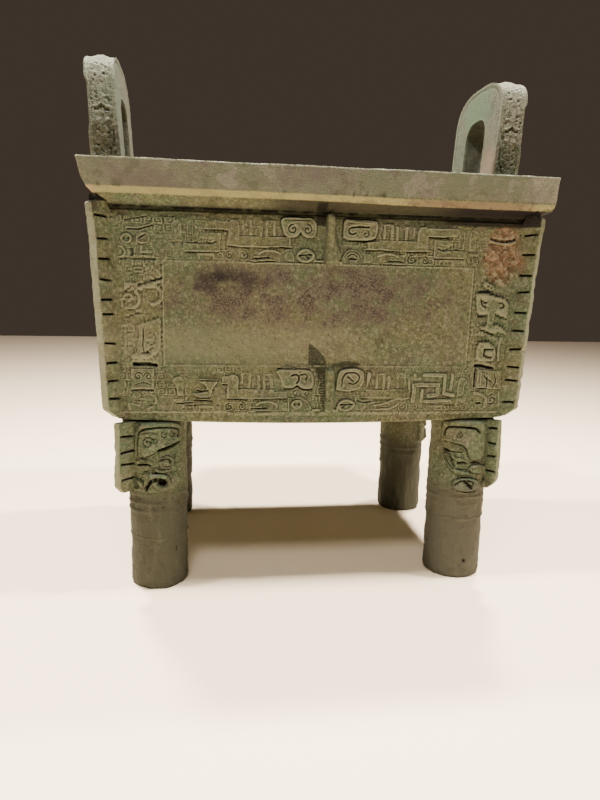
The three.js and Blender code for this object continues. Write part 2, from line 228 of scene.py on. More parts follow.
class Shell:
    # gathers the sheets of points of one piece, and the faces between them
    def __init__(self):
        self.points, self.extra, self.faces, self.count = [], [], [], 0

    def sheet(self, grid, hollow=None, closed=False, turned=False, looped=False):
        rows, columns = grid.shape[:2]
        index = self.count + np.arange(rows * columns).reshape(rows, columns)
        self.points.append(grid.reshape(-1, 3))
        self.extra.append(np.zeros(rows * columns) if hollow is None else hollow.ravel())
        self.count += rows * columns
        ring = np.concatenate([index, index[:, :1]], axis=1) if closed else index
        ring = np.concatenate([ring, ring[:1]]) if looped else ring
        a, b, c, d = ring[:-1, :-1], ring[:-1, 1:], ring[1:, 1:], ring[1:, :-1]
        quads = np.stack([a, d, c, b] if turned else [a, b, c, d], -1).reshape(-1, 4)
        self.faces.append(quads)
        return index

    def cap(self, ring, turned=False):
        ring = np.asarray(ring).ravel()
        self.faces.append((ring[::-1] if turned else ring)[None, :])

    def piece(self, name, material, slotName, node):
        points = np.concatenate(self.points) * mm
        loops = np.concatenate([f.ravel() for f in self.faces]).astype(np.int32)
        sizes = np.concatenate([np.full(len(f), f.shape[1]) for f in self.faces])
        starts = np.concatenate([[0], np.cumsum(sizes)[:-1]]).astype(np.int32)
        mesh = bpy.data.meshes.new(name)
        mesh.vertices.add(len(points))
        mesh.vertices.foreach_set("co", points.astype(np.float32).ravel())
        mesh.loops.add(len(loops))
        mesh.loops.foreach_set("vertex_index", loops)
        mesh.polygons.add(len(sizes))
        mesh.polygons.foreach_set("loop_start", starts)
        mesh.update(calc_edges=True)
        mesh.polygons.foreach_set("use_smooth", np.ones(len(sizes), bool))
        mesh.set_sharp_from_angle(angle=radians(62))
        layer = mesh.attributes.new("hollow", "FLOAT", "POINT")
        layer.data.foreach_set("value", np.concatenate(self.extra).astype(np.float32))
        mesh.materials.append(material)
        piece = bpy.data.objects.new(name, mesh)
        bpy.context.scene.collection.objects.link(piece)
        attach(piece, "root")
        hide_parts(node)
        triangles = int((sizes - 2).sum())
        print("made", name, "with", triangles, "triangles")
        return triangles


# Materials

class Wire:
    # one value in a material; the usual signs on it lay Math nodes
    def __init__(self, bench, socket):
        self.bench, self.socket = bench, socket

    def sum(self, operation, first, second):
        return self.bench.add("ShaderNodeMath", {"operation": operation}, {0: first, 1: second})

    def __neg__(self):
        return self.sum("MULTIPLY", self, -1.0)

    def __abs__(self):
        return self.sum("ABSOLUTE", self, 0.0)


signs = {"add": "ADD", "sub": "SUBTRACT", "mul": "MULTIPLY", "truediv": "DIVIDE", "pow": "POWER"}
for sign, work in signs.items():
    setattr(Wire, "__" + sign + "__", lambda self, other, work=work: self.sum(work, self, other))
    setattr(Wire, "__r" + sign + "__", lambda self, other, work=work: self.sum(work, other, self))


class Bench:
    # a material being laid out, node by node
    def __init__(self, name):
        self.material = bpy.data.materials.new(name)
        self.material.use_nodes = True
        self.tree = self.material.node_tree
        self.shader = self.tree.nodes["Principled BSDF"]
        self.place = self.add("ShaderNodeTexCoord", output="Object")
        self.x = self.add("ShaderNodeSeparateXYZ", None, {0: self.place}, 0)
        self.y = self.add("ShaderNodeSeparateXYZ", None, {0: self.place}, 1)
        self.z = self.add("ShaderNodeSeparateXYZ", None, {0: self.place}, 2)

    def add(self, kind, settings=None, inputs=None, output=0):
        node = self.tree.nodes.new(kind)
        for key, value in (settings or {}).items():
            setattr(node, key, value)
        for key, value in (inputs or {}).items():
            self.feed(node.inputs[key], value)
        return Wire(self, node.outputs[output])

    def feed(self, socket, value):
        if isinstance(value, Wire):
            self.tree.links.new(value.socket, socket)
        else:
            socket.default_value = value

    def noise(self, scale, detail=3.0, roughness=0.55, place=None):
        return self.add("ShaderNodeTexNoise", None, {"Vector": place or self.place, "Scale": scale,
                                                     "Detail": detail, "Roughness": roughness})

    def ramp(self, value, low, high):
        return self.add("ShaderNodeMapRange", {"interpolation_type": "SMOOTHSTEP"},
                        {"Value": value, "From Min": low, "From Max": high})

    def mixed(self, factor, first, second, way="MIX"):
        first, second = [c if isinstance(c, Wire) else (*c, 1.0) for c in (first, second)]
        return self.add("ShaderNodeMix", {"data_type": "RGBA", "blend_type": way, "clamp_factor": True},
                        {0: factor, 6: first, 7: second}, 2)

    def oval(self, centre, radii):
        # distance from a centre, where 1 is on an egg-shaped surface with these radii
        parts = [(axis - c) / r for axis, c, r in zip((self.x, self.y, self.z), centre, radii) if r]
        return sum((part * part for part in parts), 0.0) ** 0.5


patina = {
    "moss": (0.064, 0.090, 0.050),
    "olive": (0.092, 0.096, 0.048),
    "pale": (0.215, 0.225, 0.155),
    "dark": (0.013, 0.015, 0.008),
    "umber": (0.074, 0.056, 0.040),
    "lilac": (0.120, 0.104, 0.094),
    "plum": (0.026, 0.021, 0.021),
    "rust": (0.098, 0.048, 0.028),
    "sand": (0.185, 0.125, 0.078),
    "legBrown": (0.044, 0.045, 0.031),
    "litBevel": (0.240, 0.228, 0.110),
    "bruise": (0.112, 0.088, 0.074),
    "ink": (0.012, 0.008, 0.012),
    "straw": (0.190, 0.180, 0.120),
    "damp": (0.008, 0.011, 0.007),
    "finShadow": (0.005, 0.007, 0.003),
    "stone": (0.082, 0.080, 0.063),
    "bandGrey": (0.112, 0.117, 0.097),
    "bandLilac": (0.090, 0.080, 0.075),
    "bandGreen": (0.090, 0.108, 0.074),
    "bandPale": (0.166, 0.163, 0.142),
    "bandDark": (0.058, 0.056, 0.040),
    "crust": (0.225, 0.215, 0.185),
    "slope": (0.024, 0.021, 0.013),
    "shade": (0.006, 0.004, 0.005),
    "pinkLitBevel": (0.120, 0.082, 0.062),
    "warmLitBevel": (0.300, 0.215, 0.140),
    "blackShade": (0.002, 0.002, 0.001),
}
earPatina = {
    "moss": (0.068, 0.082, 0.053),
    "olive": (0.077, 0.076, 0.047),
    "pale": (0.140, 0.139, 0.100),
    "dark": (0.013, 0.014, 0.009),
    "umber": (0.076, 0.058, 0.042),
    "lilac": (0.100, 0.088, 0.074),
    "blackShade": (0.002, 0.002, 0.001),
    "bloom": (0.062, 0.092, 0.050),
    "foot": (0.150, 0.100, 0.065),
}


class Patina(Bench):
    # grey-green and olive clouds, brown mottling, pale and dark specks, and painted shade with some dust in
    # the hollows
    def __init__(self, name, shades):
        super().__init__(name)
        self.shades = shades
        self.clouds = self.noise(4.2, 4.0, 0.62)
        self.mottle = self.noise(17.0, 4.0, 0.62)
        self.blotch = self.noise(46.0, 3.0, 0.62)
        self.grain = self.noise(120.0, 3.0, 0.66)
        self.speck = self.noise(310.0, 2.0, 0.6)
        self.hollow = self.add("ShaderNodeAttribute", {"attribute_name": "hollow"}, None, 2)
        self.colour = self.mixed(self.ramp(self.clouds, 0.42, 0.58), shades["olive"], shades["moss"])
        self.lay(self.ramp(self.mottle, 0.50, 0.62) * 0.5, "umber")
        self.lay(self.ramp(self.mottle, 0.45, 0.34) * 0.5, "dark")
        self.lay(self.ramp(self.blotch, 0.53, 0.64) * 0.38, "lilac")
        self.lay(self.ramp(self.blotch, 0.46, 0.36) * 0.35, "moss")
        self.lay(self.ramp(self.grain, 0.52, 0.66) * 0.45, "pale")
        self.lay(self.ramp(self.grain, 0.47, 0.36) * 0.42, "dark")
        self.lay(self.ramp(self.speck, 0.54, 0.66) * 0.34, "dark")
        self.lay(self.ramp(self.speck, 0.45, 0.36) * 0.28, "pale")

    def lay(self, share, shade):
        shade = self.shades[shade] if isinstance(shade, str) else shade
        self.colour = self.mixed(share, self.colour, shade)

    def span(self, value, low, high, soft):
        # 1 between two bounds, fading out over a soft border
        return self.ramp(value, low - soft, low + soft) * self.ramp(value, high + soft, high - soft)

    def patch(self, centre, radii, wobble, full, gone):
        # 1 within an egg-shaped patch with a wavy border, fading out to 0
        return self.ramp(self.oval(centre, radii) + self.mottle * wobble, gone, full)

    def finish(self):
        # painted shade and some dust darken the hollows, painted black where the shade is deepest; raised
        # parts are laid paler
        self.lay(self.ramp(self.hollow, 0.14, 0.88) * 0.76, "dark")
        self.lay(self.ramp(self.hollow, 0.86, 0.97), "blackShade")
        self.lay(self.ramp(-self.hollow, 0.08, 0.66) * 0.64, "pale")
        self.feed(self.shader.inputs["Base Color"], self.colour)
        self.feed(self.shader.inputs["Roughness"], 0.50 + self.grain * 0.3)
        self.feed(self.shader.inputs["Metallic"], self.ramp(-self.hollow, 0.2, 1.2) * 0.25)
        self.shader.inputs["Specular IOR Level"].default_value = 0.15
        height = self.grain * 0.9 + self.ramp(self.speck, 0.34, 0.60) * 0.6
        height = height + self.blotch * 0.9 + self.mottle * 0.6
        bump = self.add("ShaderNodeBump", None, {"Strength": 0.75, "Distance": 0.0026, "Height": height})
        self.feed(self.shader.inputs["Normal"], bump)
        return self.material


def vesselMaterial():
    bench = Patina("vesselPatina", patina)
    lay, ramp, span, patch = bench.lay, bench.ramp, bench.span, bench.patch
    x, z, mottle = bench.x, bench.z, bench.mottle
    front = ramp(-bench.y, 0.315, 0.33)
    flecks = bench.noise(240.0, 4.0, 0.8)
    patches = bench.noise(24.0, 5.0, 0.7)
    # plum-dark stain over the upper part of the front panel, broken into specks and patches
    stain = patch((-0.02, 0, 0.742), (0.32, 0, 0.078), 1.6, 1.45, 2.1)
    deep = patch((-0.225, 0, 0.775), (0.12, 0, 0.034), 1.5, 1.1, 1.9)
    core = patch((-0.245, 0, 0.782), (0.06, 0, 0.018), 1.2, 0.8, 1.8)
    lay(front * stain * ramp(patches, 0.40, 0.54) * 0.7, "bruise")
    lay(front * stain * (ramp(patches, 0.42, 0.58) * 0.85 + 0.1) * ramp(flecks, 0.44, 0.54), "plum")
    lay(front * deep * ramp(patches + flecks * 0.4, 0.54, 0.74) * 0.88, "plum")
    lay(front * core * ramp(flecks, 0.26, 0.50) * 0.92, "ink")
    # olive corners at the foot of the panel
    corner = patch((-0.24, 0, 0.61), (0.16, 0, 0.05), 1.0, 1.1, 1.9)
    lay(front * corner * 0.5, "moss")
    lay(front * span(z, 0.585, 0.665, 0.03) * ramp(x, 0.2, 0.0) * 0.30, "straw")
    # rust-red corrosion near the right-hand corner
    corroded = patch((0.448, 0, 0.852), (0.050, 0, 0.076), 1.2, 1.25, 1.75)
    reds = bench.mixed(ramp(bench.blotch, 0.44, 0.58), patina["rust"], patina["sand"])
    lay(front * corroded * (0.9 - ramp(bench.grain, 0.50, 0.40) * 0.5), reds)
    # damp dark stains round the foot of the middle fins, and a painted shadow beside the lower one
    climb = (z - 0.567) / 0.056
    flame = ramp(0.018 - climb * climb * 0.038 - x + mottle * 0.005, 0.0, 0.003)
    flame = ramp(x + mottle * 0.006, -0.027, -0.023) * flame * span(z, 0.566, 0.626, 0.003)
    lay(front * flame * (0.85 - ramp(flecks, 0.50, 0.60) * 0.3), "damp")
    # painted shadow: a dark wedge down the left side of the lower middle fin
    wedge = ramp(x - 0.013 + (z - 0.455) * 0.21, -0.001, 0.001) * ramp(x, 0.015, 0.013)
    lay(front * wedge * span(z, 0.455, 0.567, 0.002) * 0.8, "finShadow")
    damp = patch((0.068, 0, 0.575), (0.036, 0, 0.010), 0.5, 1.0, 1.4)
    lay(front * damp * 0.8, "dark")
    # browner legs with upright streaks
    legs = ramp(z + mottle * 0.06, 0.320, 0.250)
    facing = ramp(-bench.y, 0.18, 0.24)
    lay(legs * 0.93, "legBrown")
    tall = {0: bench.place, 1: (70.0, 70.0, 12.0)}
    tall = bench.add("ShaderNodeVectorMath", {"operation": "MULTIPLY"}, tall)
    streak = bench.noise(1.0, 3.0, 0.6, tall)
    lay(legs * ramp(streak, 0.56, 0.68) * 0.10, "pale")
    lay(legs * ramp(streak, 0.46, 0.36) * 0.16, "dark")
    lay(legs * facing * ramp(x, 0.1, 0.3) * 0.5, "stone")
    # the rim's band is smoother and greyer, with broad lilac-brown and grey-green patches
    broad = bench.noise(11.0, 4.0, 0.6)
    outer = ramp(ramp(abs(bench.y), 0.328, 0.336) + ramp(abs(x), 0.502, 0.508), 0.0, 1.0)
    band = ramp(z, 0.970, 0.976) * ramp(z, 1.031, 1.0295) * outer
    lay(band * (1.0 - ramp(bench.grain, 0.56, 0.66) * 0.5) * 0.72, "bandGrey")
    lay(band * ramp(broad, 0.48, 0.58) * 0.75, "bandLilac")
    lay(band * ramp(broad, 0.48, 0.40) * 0.65, "bandGreen")
    lay(band * ramp(mottle, 0.55, 0.63) * 0.55, "bandPale")
    lay(band * ramp(mottle, 0.43, 0.36) * 0.4, "bandDark")
    lay(band * front * ramp(x + mottle * 0.2, 0.55, 0.67) * 0.6, "crust")
    lay(front * ramp(z, 1.0265, 1.030) * ramp(bench.blotch, 0.40, 0.52) * 0.6, "pale")
    # painted shade on the olive slope under it: dark brown from the middle on, and near black on slope and
    # neck towards both ends
    slope = span(z, 0.9385, 0.9605, 0.002) * front
    lay(slope * ramp(x + mottle * 0.1, -0.16, -0.02) * 0.88, "slope")
    shaded = ramp(x + mottle * 0.12, 0.26, 0.42) + ramp(x, -0.50, -0.535)
    lay(span(z, 0.916, 0.9590, 0.003) * front * shaded * 0.93, "shade")
    # painted light on the bevel along its lower edge, as if lit from the floor below: sinking a little to the
    # right, broken and pinkish further on, warmer at the left end
    sink = ramp(x, -0.2, 0.35) * 0.004
    litBevel = span(z + mottle * 0.004 + sink, 0.9605, 0.9745, 0.0018) * outer
    lay(litBevel * (0.95 - ramp(bench.blotch, 0.50, 0.62) * (0.25 + ramp(x, 0.0, 0.2) * 0.4)), "litBevel")
    lay(litBevel * span(x, 0.20, 0.50, 0.05) * 0.7, "pinkLitBevel")
    lay(litBevel * ramp(x, -0.50, -0.54) * 0.7, "warmLitBevel")
    # painted shadow: a black strip beside the top of the upper middle fin, reaching up under the rim
    lay(span(x, -0.020, 0.004, 0.003) * span(z, 0.904, 0.955, 0.004) * front * 0.85, "blackShade")
    return bench.finish()


def earMaterial():
    bench = Patina("earPatina", earPatina)
    lay, ramp, patch = bench.lay, bench.ramp, bench.patch
    # a green bloom on the inner face of the right ear, pinkish brown near its foot
    inner = ramp(bench.x, 0.46, 0.47) * ramp(bench.x - (bench.z - 1.033) * 0.064, 0.492, 0.485)
    bloom = patch((0, 0.02, 1.262), (0, 0.085, 0.05), 0.8, 1.0, 1.9)
    lay(inner * bloom * 0.75, "bloom")
    foot = patch((0, -0.12, 1.085), (0, 0.05, 0.06), 0.8, 1.0, 1.9)
    lay(inner * foot * 0.6, "foot")
    return bench.finish()


vesselBronze = vesselMaterial()
earBronze = earMaterial()
print("materials laid out")


# Belly walls

belly = {
    "topAcross": 507.0, "bottomAcross": 487.0, "topDepth": 351.0, "bottomDepth": 331.0,
    "bottom": 445.0, "top": 925.0, "sag": 14.0, "slab": 16.0, "wall": 25.0, "floor": 469.0,
    "middle": 694.0, "bandFoot": 453.0,
}
cornerFin = {
    "half": 13.0, "reach": 34.0, "flare": 3.0, "chamfer": 26.0, "root": -12.0, "bottom": 447.0, "top": 958.0,
    "leftSlots": [492, 536, 579, 623, 692, 725, 768, 816, 860, 908],
    "rightSlots": [482, 540, 574, 618, 666, 711, 760, 802, 852, 897], "slotDepth": 6.5,
}


def bellyHalf(z, long):
    # half width of the belly at a height, straight from bottom to top
    share = (z - belly["bottom"]) / (belly["top"] - belly["bottom"])
    top, bottom = ("topAcross", "bottomAcross") if long else ("topDepth", "bottomDepth")
    return belly[bottom] + (belly[top] - belly[bottom]) * share


def turnedTo(turn, u, out, z):
    # puts a face's own across, outward and height into the vessel's frame
    c, s = round(cos(radians(turn))), round(sin(radians(turn)))
    return np.stack(np.broadcast_arrays(u * c + out * s, u * s - out * c, z), -1)


def dragonHalf(art, centre, side, foot, stretch=1.0):
    # half a band, in low relief: horn and eye beside the middle fin, then a long body with a hooked tail
    art.place(centre, foot, side, stretch)
    art.plate([92, 39, 92, 61, 240, 61, 242, 38, 170, 36], 2.4, 2.0, False)
    art.step([88, 40, 130, 40, 170, 39], 1.2, 1.8)
    art.step([190, 38, 238, 39], 0.8, 1.6)
    art.plate([212, 45, 212, 88, 220, 98, 238, 96, 240, 62, 236, 44], 3.0)
    art.plate([236, 74, 234, 93, 314, 94, 318, 84, 312, 74], 2.8, 1.8, False)
    art.step([240, 75, 292, 75], 1.0, 1.8)
    art.ridge([318, 42, 319, 92], 3.0, 2.0)
    art.ridge([330, 48, 331, 88], 3.0, 1.6)
    art.plate([256, 24, 256, 66, 302, 66, 304, 54, 276, 52, 278, 40, 340, 42, 342, 24], 2.2, 1.8,
        False)
    art.step([260, 25, 338, 24], 1.2, 2.0)
    art.groove([266, 46, 276, 42, 289, 46], 4.0, 2.6, True)
    art.groove([309, 45, 322, 42], 3.4, 2.0)
    art.plate([344, 44, 344, 92, 362, 92, 372, 80, 360, 70, 362, 44], 2.2)
    art.bar([345, 18, 345, 34, 366, 34], 7, 1.8)
    for m, low, high in ((150, 64, 98), (163, 64, 92), (186, 66, 100), (132, 66, 84)):
        art.bar([(m, low), (m, high)], 7, 2.2)
    art.bar([132, 84, 132, 98, 150, 98], 5, 2.2)
    art.bar([186, 100, 204, 100, 204, 76], 5, 2.0)
    # jaw, claws and a curl under the body
    art.bar([12, 7, 34, 7, 36, 22], 6, 2.6)
    art.step([144, 16, 180, 16], 1.4, 1.8)
    art.step([132, 8, 186, 6], 1.2, 1.6)
    art.bar([118, 24, 136, 30, 158, 28, 168, 22], 5, 2.0, 1.9, True)
    art.curl((204, 18), 12, 90, 1.4 * side, 3.4, 1.8)
    art.curl((236, 16), 9, 90, -1.3 * side, 3.2, 1.8)
    art.bar([272, 10, 272, 18, 306, 18, 306, 8], 5, 1.6)
    art.plate([84, 6, 84, 26, 100, 30, 108, 20, 104, 8], 2.0)
    # eye: an almond in a raised ring, with a three-cornered slit
    art.eye((56, 20), 21, 15, 4.0, 0.0)
    art.groove([72, 21, 56, 22, 42, 22], 4.6, 3.4)
    art.groove([56, 20, 48, 14], 5.0, 3.0)
    # horn: a broad plate with two curls and a lobed lower edge
    art.plate([90, 107, 44, 107, 33, 98, 32, 74, 36, 64, 52, 59, 66, 68, 70, 76, 76, 64, 92, 59, 106,
        64, 113, 80, 118, 106], 5.0, 2.2)
    art.curl((54, 80), 12, 90, 1.2 * side, 3.6, 2.6)
    art.curl((88, 80), 12, 90, -1.2 * side, 3.6, 2.6)
    art.groove([44, 101, 106, 101], 3.0, 1.4)


def uprightColumn(art, centre, side):
    # strip beside a corner: a small mask on top, a dragon climbing below it, and a second mask
    art.place(centre, 0.0, side)
    art.groove([-30, 904, 4, 910, 33, 915], 3.4, 2.0)
    art.step([-24, 888, 3, 888, 32, 896], 1.8, 2.6)
    art.eye((-27, 863), 12, 11, 3.6, 2.6)
    art.plate([-6, 856, -6, 876, 24, 880, 28, 856, 10, 850], 1.8)
    art.step([1, 868, 17, 876], 0.4, 3.0)
    art.ridge([0, 858, 10, 853, 24, 856], 2.8, 1.6, True)
    art.eye((-42, 833), 12, 13, 2.4, 0.0)
    art.groove([-17, 827, -17, 839], 10.0, 2.8)
    art.bar([6, 846, 6, 834, 30, 836], 6, 1.8)
    art.ridge([-14, 826, 33, 826], 3.0, 1.8)
    art.groove([-50, 818, 36, 819], 7.0, 1.8)
    for i in range(4):
        low = 9 * i
        art.groove([2 * i - 28, 798 - low, -10, 803 - low, 4, 804 - low, 13, 799 - 8 * i], 3.0, 1.8, True)
    art.bar([30, 800, 48, 786, 50, 760], 6, 1.6, 1.9, True)
    art.plate([-34, 765, -34, 744, 20, 752, 46, 764, 50, 776, 22, 764], 1.8)
    art.groove([-2, 759, 23, 767, 50, 777], 5.6, 4.2)
    art.groove([-27, 752, -19, 753], 4.0, 2.4)
    art.groove([23, 739, 29, 740], 5.4, 4.0)
    art.bar([18, 756, 36, 757, 48, 748, 51, 730, 42, 718, 26, 716], 8, 2.8, 1.9, True)
    art.bar([-32, 706, -14, 707, -3, 716, 0, 732, -8, 744], 7, 2.8, 1.9, True)
    art.bar([-34, 736, -22, 740, -16, 730, -26, 722], 6, 2.0, 1.9, True)
    art.groove([-26, 702, -16, 703], 4.4, 2.4)
    art.groove([-31, 684, 3, 696], 4.2, 3.4)
    art.bar([-40, 665, -22, 667], 5, 1.8)
    art.plate([-5, 668, 20, 674, 50, 686, 46, 660, 47, 616, 38, 598, 16, 586, -22, 586, -24, 596, -6,
        600], 2.6, 2.0)
    art.groove([6, 660, 5, 606, 14, 600, 26, 604], 3.6, 2.2, True)
    art.groove([2, 601, 16, 604, 28, 614], 4.0, 2.6, True)
    art.ridge([12, 632, 20, 635, 34, 630], 3.0, 1.8, True)
    art.groove([20, 650, 34, 646, 36, 628, 26, 620, 16, 626], 3.4, 1.8, True)
    art.bar([-36, 652, -36, 600], 7, 1.6)
    art.groove([-16, 574, 10, 575, 35, 572], 9.0, 6.0)
    art.plate([-24, 515, -24, 564, 30, 564, 28, 515], 2.4, 2.0, False)
    art.curl((-8, 546), 11, 0, 1.2, 3.0, 1.7)
    art.curl((15, 546), 10, 180, -1.2, 3.0, 1.7)
    art.groove([-14, 526, 2, 532, 20, 526], 3.0, 1.5, True)
    art.groove([-24, 511, -2, 513, 26, 511], 4.0, 3.2)
    art.eye((-12, 500), 9, 7, 2.4, 0.0)
    art.ridge([-18, 491, 4, 491], 2.8, 1.6)
    art.ridge([-18, 483, 8, 483], 2.8, 1.4)
    art.bar([-30, 466, -30, 480, -4, 474], 5, 1.8)
    art.bar([16, 466, 32, 476, 34, 494, 20, 500], 5, 2.0, 1.9, True)
    art.groove([20, 474, 32, 475], 4.4, 2.2)


def frontRightColumn(art):
    # the strip at the right of the front: bold hooked scrolls below the corroded patch
    art.place()
    art.plate([400, 778, 408, 785, 434, 774, 431, 764, 412, 768], 3.0)
    art.groove([406, 777, 426, 770], 3.2, 2.0)
    art.plate([387, 758, 414, 758, 432, 749, 458, 746, 473, 737, 479, 720, 474, 703, 462, 700, 444,
        708, 438, 706, 438, 672, 446, 679, 462, 673, 476, 658, 474, 652, 458, 662, 438, 660, 420, 660,
        402, 672, 404, 677, 420, 676, 421, 706, 416, 706, 396, 703, 388, 716], 3.6, 2.0)
    art.groove([400, 742, 403, 727, 413, 724], 5.0, 3.4, True)
    art.groove([404, 738, 413, 734], 5.4, 3.6)
    art.groove([447, 733, 458, 734, 461, 724, 450, 720], 5.6, 3.2, True)
    art.groove([394, 700, 418, 701], 4.4, 3.0)
    art.step([441, 707, 458, 700, 476, 697], 1.6, 3.0)
    art.groove([408, 666, 424, 661, 442, 653], 4.6, 3.6)
    art.bar([462, 654, 464, 640], 6, 2.0)
    art.plate([398, 590, 399, 630, 412, 637, 440, 632, 450, 616, 450, 588, 430, 584], 3.2, 2.0)
    art.groove([441, 617, 420, 618, 419, 601, 438, 596], 5.6, 4.4)
    art.ridge([402, 631, 414, 637, 436, 632], 3.0, 1.6, True)
    art.bar([460, 646, 457, 616, 460, 590], 6, 2.6)
    art.bar([474, 640, 474, 596], 5, 1.8)
    art.groove([400, 575, 424, 573, 446, 569], 9.0, 6.5)
    art.plate([406, 565, 474, 562, 474, 514, 406, 517], 3.4, 2.0, False)
    art.groove([401, 566, 401, 520], 5.0, 3.4)
    art.groove([424, 550, 432, 541, 444, 535], 4.4, 3.2, True)
    art.groove([434, 546, 433, 522], 4.0, 2.6)
    art.groove([452, 556, 458, 532, 448, 520], 4.0, 2.4, True)
    art.ridge([415, 558, 415, 526], 3.0, 1.2)
    art.groove([408, 514, 432, 516], 5.0, 4.2)
    art.curl((452, 486), 15, 90, 1.4, 4.0, 2.4)
    art.bar([404, 504, 424, 500, 438, 490, 432, 470], 8, 2.6, 1.9, True)
    art.groove([412, 477, 421, 478], 5.4, 3.8)
    art.bar([470, 506, 474, 470], 7, 2.2)


def frontDetails(art):
    # what only the front has, where its two halves differ
    art.place()
    # upper band, right: a rounded horn with one long slot
    art.clear((40, 872), (134, 924))
    art.plate([44, 878, 44, 918, 54, 924, 122, 922, 130, 912, 128, 884, 116, 876, 84, 873, 60, 873],
        5.0, 2.2)
    art.groove([108, 905, 62, 903, 55, 894, 63, 886, 74, 890], 4.6, 3.8, True)
    art.curl((101, 889), 9, 90, -1.1, 3.4, 2.2)
    art.ridge([50, 915, 118, 914], 3.0, 1.4)
    art.groove([60, 872, 96, 871, 126, 878], 4.0, 2.6)
    # upper right eye: half rings open below
    art.clear((46, 819), (98, 858), 0.15)
    for reach in (7.0, 13.0, 19.0):
        turn = np.linspace(0.1, pi - 0.1, 8)
        art.ridge(np.stack([70 + reach * 1.2 * np.cos(turn), 832 + reach * np.sin(turn)], 1), 3.0,
            2.0)
    art.groove([62, 832, 80, 831], 4.6, 3.2)
    # lower band, left: an S scroll with a stepped ledge beside it
    art.clear((-320, 477), (-238, 556), 0.15)
    art.plate([-297, 541, -246, 537, -250, 527, -262, 517, -263, 502, -276, 491, -300, 495, -312,
        506, -296, 503, -281, 506, -275, 516, -282, 528, -296, 533], 3.4, 2.0)
    art.step([-296, 540, -246, 537], 1.2, 2.2)
    art.groove([-297, 510, -286, 507, -273, 510], 4.6, 3.0, True)
    art.step([-304, 489, -262, 488], 1.6, 2.4)
    art.step([-346, 482, -310, 483], 1.6, 2.4)
    art.ridge([-312, 507, -300, 498, -276, 492, -262, 500], 3.0, 1.4, True)
    # lower band, right: a bold square spiral
    art.clear((232, 476), (356, 560), 0.15)
    art.bar([242, 484, 242, 524, 304, 526, 304, 500, 282, 498], 10, 3.6)
    art.bar([268, 550, 320, 550, 322, 502, 348, 498], 9, 3.4)
    art.bar([264, 512, 264, 484, 340, 484], 8, 3.4)
    art.bar([340, 552, 340, 516], 8, 2.6)
    art.bar([244, 552, 244, 540, 258, 540], 7, 2.4)
    # lower horns: a heart of two hooks at the left, a rounded square with a slanting slot at the right
    art.clear((-112, 508), (-8, 568), 0.2)
    art.plate([-108, 558, -96, 566, -26, 563, -14, 550, -13, 524, -22, 514, -42, 515, -54, 528, -62,
        518, -82, 516, -94, 526, -96, 540], 4.4, 2.2)
    art.groove([-68, 549, -60, 553, -50, 548, -50, 536, -56, 530], 5.0, 3.4, True)
    art.groove([-46, 549, -36, 553, -29, 546, -34, 538], 5.0, 3.2, True)
    art.groove([-86, 514, -64, 515, -54, 523, -44, 512, -18, 512], 4.4, 3.0, True)
    art.step([-104, 569, -22, 567], 1.8, 1.2)
    art.clear((36, 508), (120, 568), 0.2)
    art.plate([42, 512, 44, 552, 56, 566, 112, 566, 113, 530, 100, 514, 70, 508], 4.4, 2.2)
    art.groove([56, 522, 58, 548, 68, 556, 98, 555, 102, 540, 88, 526, 74, 530], 4.4, 3.0, True)
    art.groove([70, 546, 86, 534], 4.6, 2.8)
    # lower left eye, cut more finely, and the frame round it
    art.clear((-80, 458), (-16, 510), 0.2)
    art.ridge([-76, 459, -76, 490, -44, 492, -28, 482, -20, 464], 3.0, 2.0)
    art.eye((-55, 476), 14, 11, 3.0, 2.8)
    art.curl((-57, 503), 8, 90, 1.0, 3.0, 1.8)
    art.curl((-32, 503), 8, 90, -1.0, 3.0, 1.8)
    # claws beside the lower right eye
    art.groove([98, 484, 112, 478, 140, 485, 172, 484], 4.6, 3.0, True)
    art.bar([140, 472, 172, 476, 190, 488, 226, 490], 5, 2.8, 1.9, True)
    art.bar([150, 461, 186, 463, 204, 478], 5, 2.6, 1.9, True)
    # ledge that closes the panel below, broken by the middle fin
    art.step([-104, 578, -34, 577], 1.6, 3.2)
    art.step([104, 577, 206, 576], 1.8, 2.6)
    art.step([-20, 824, 2, 824], 1.8, 2.0)


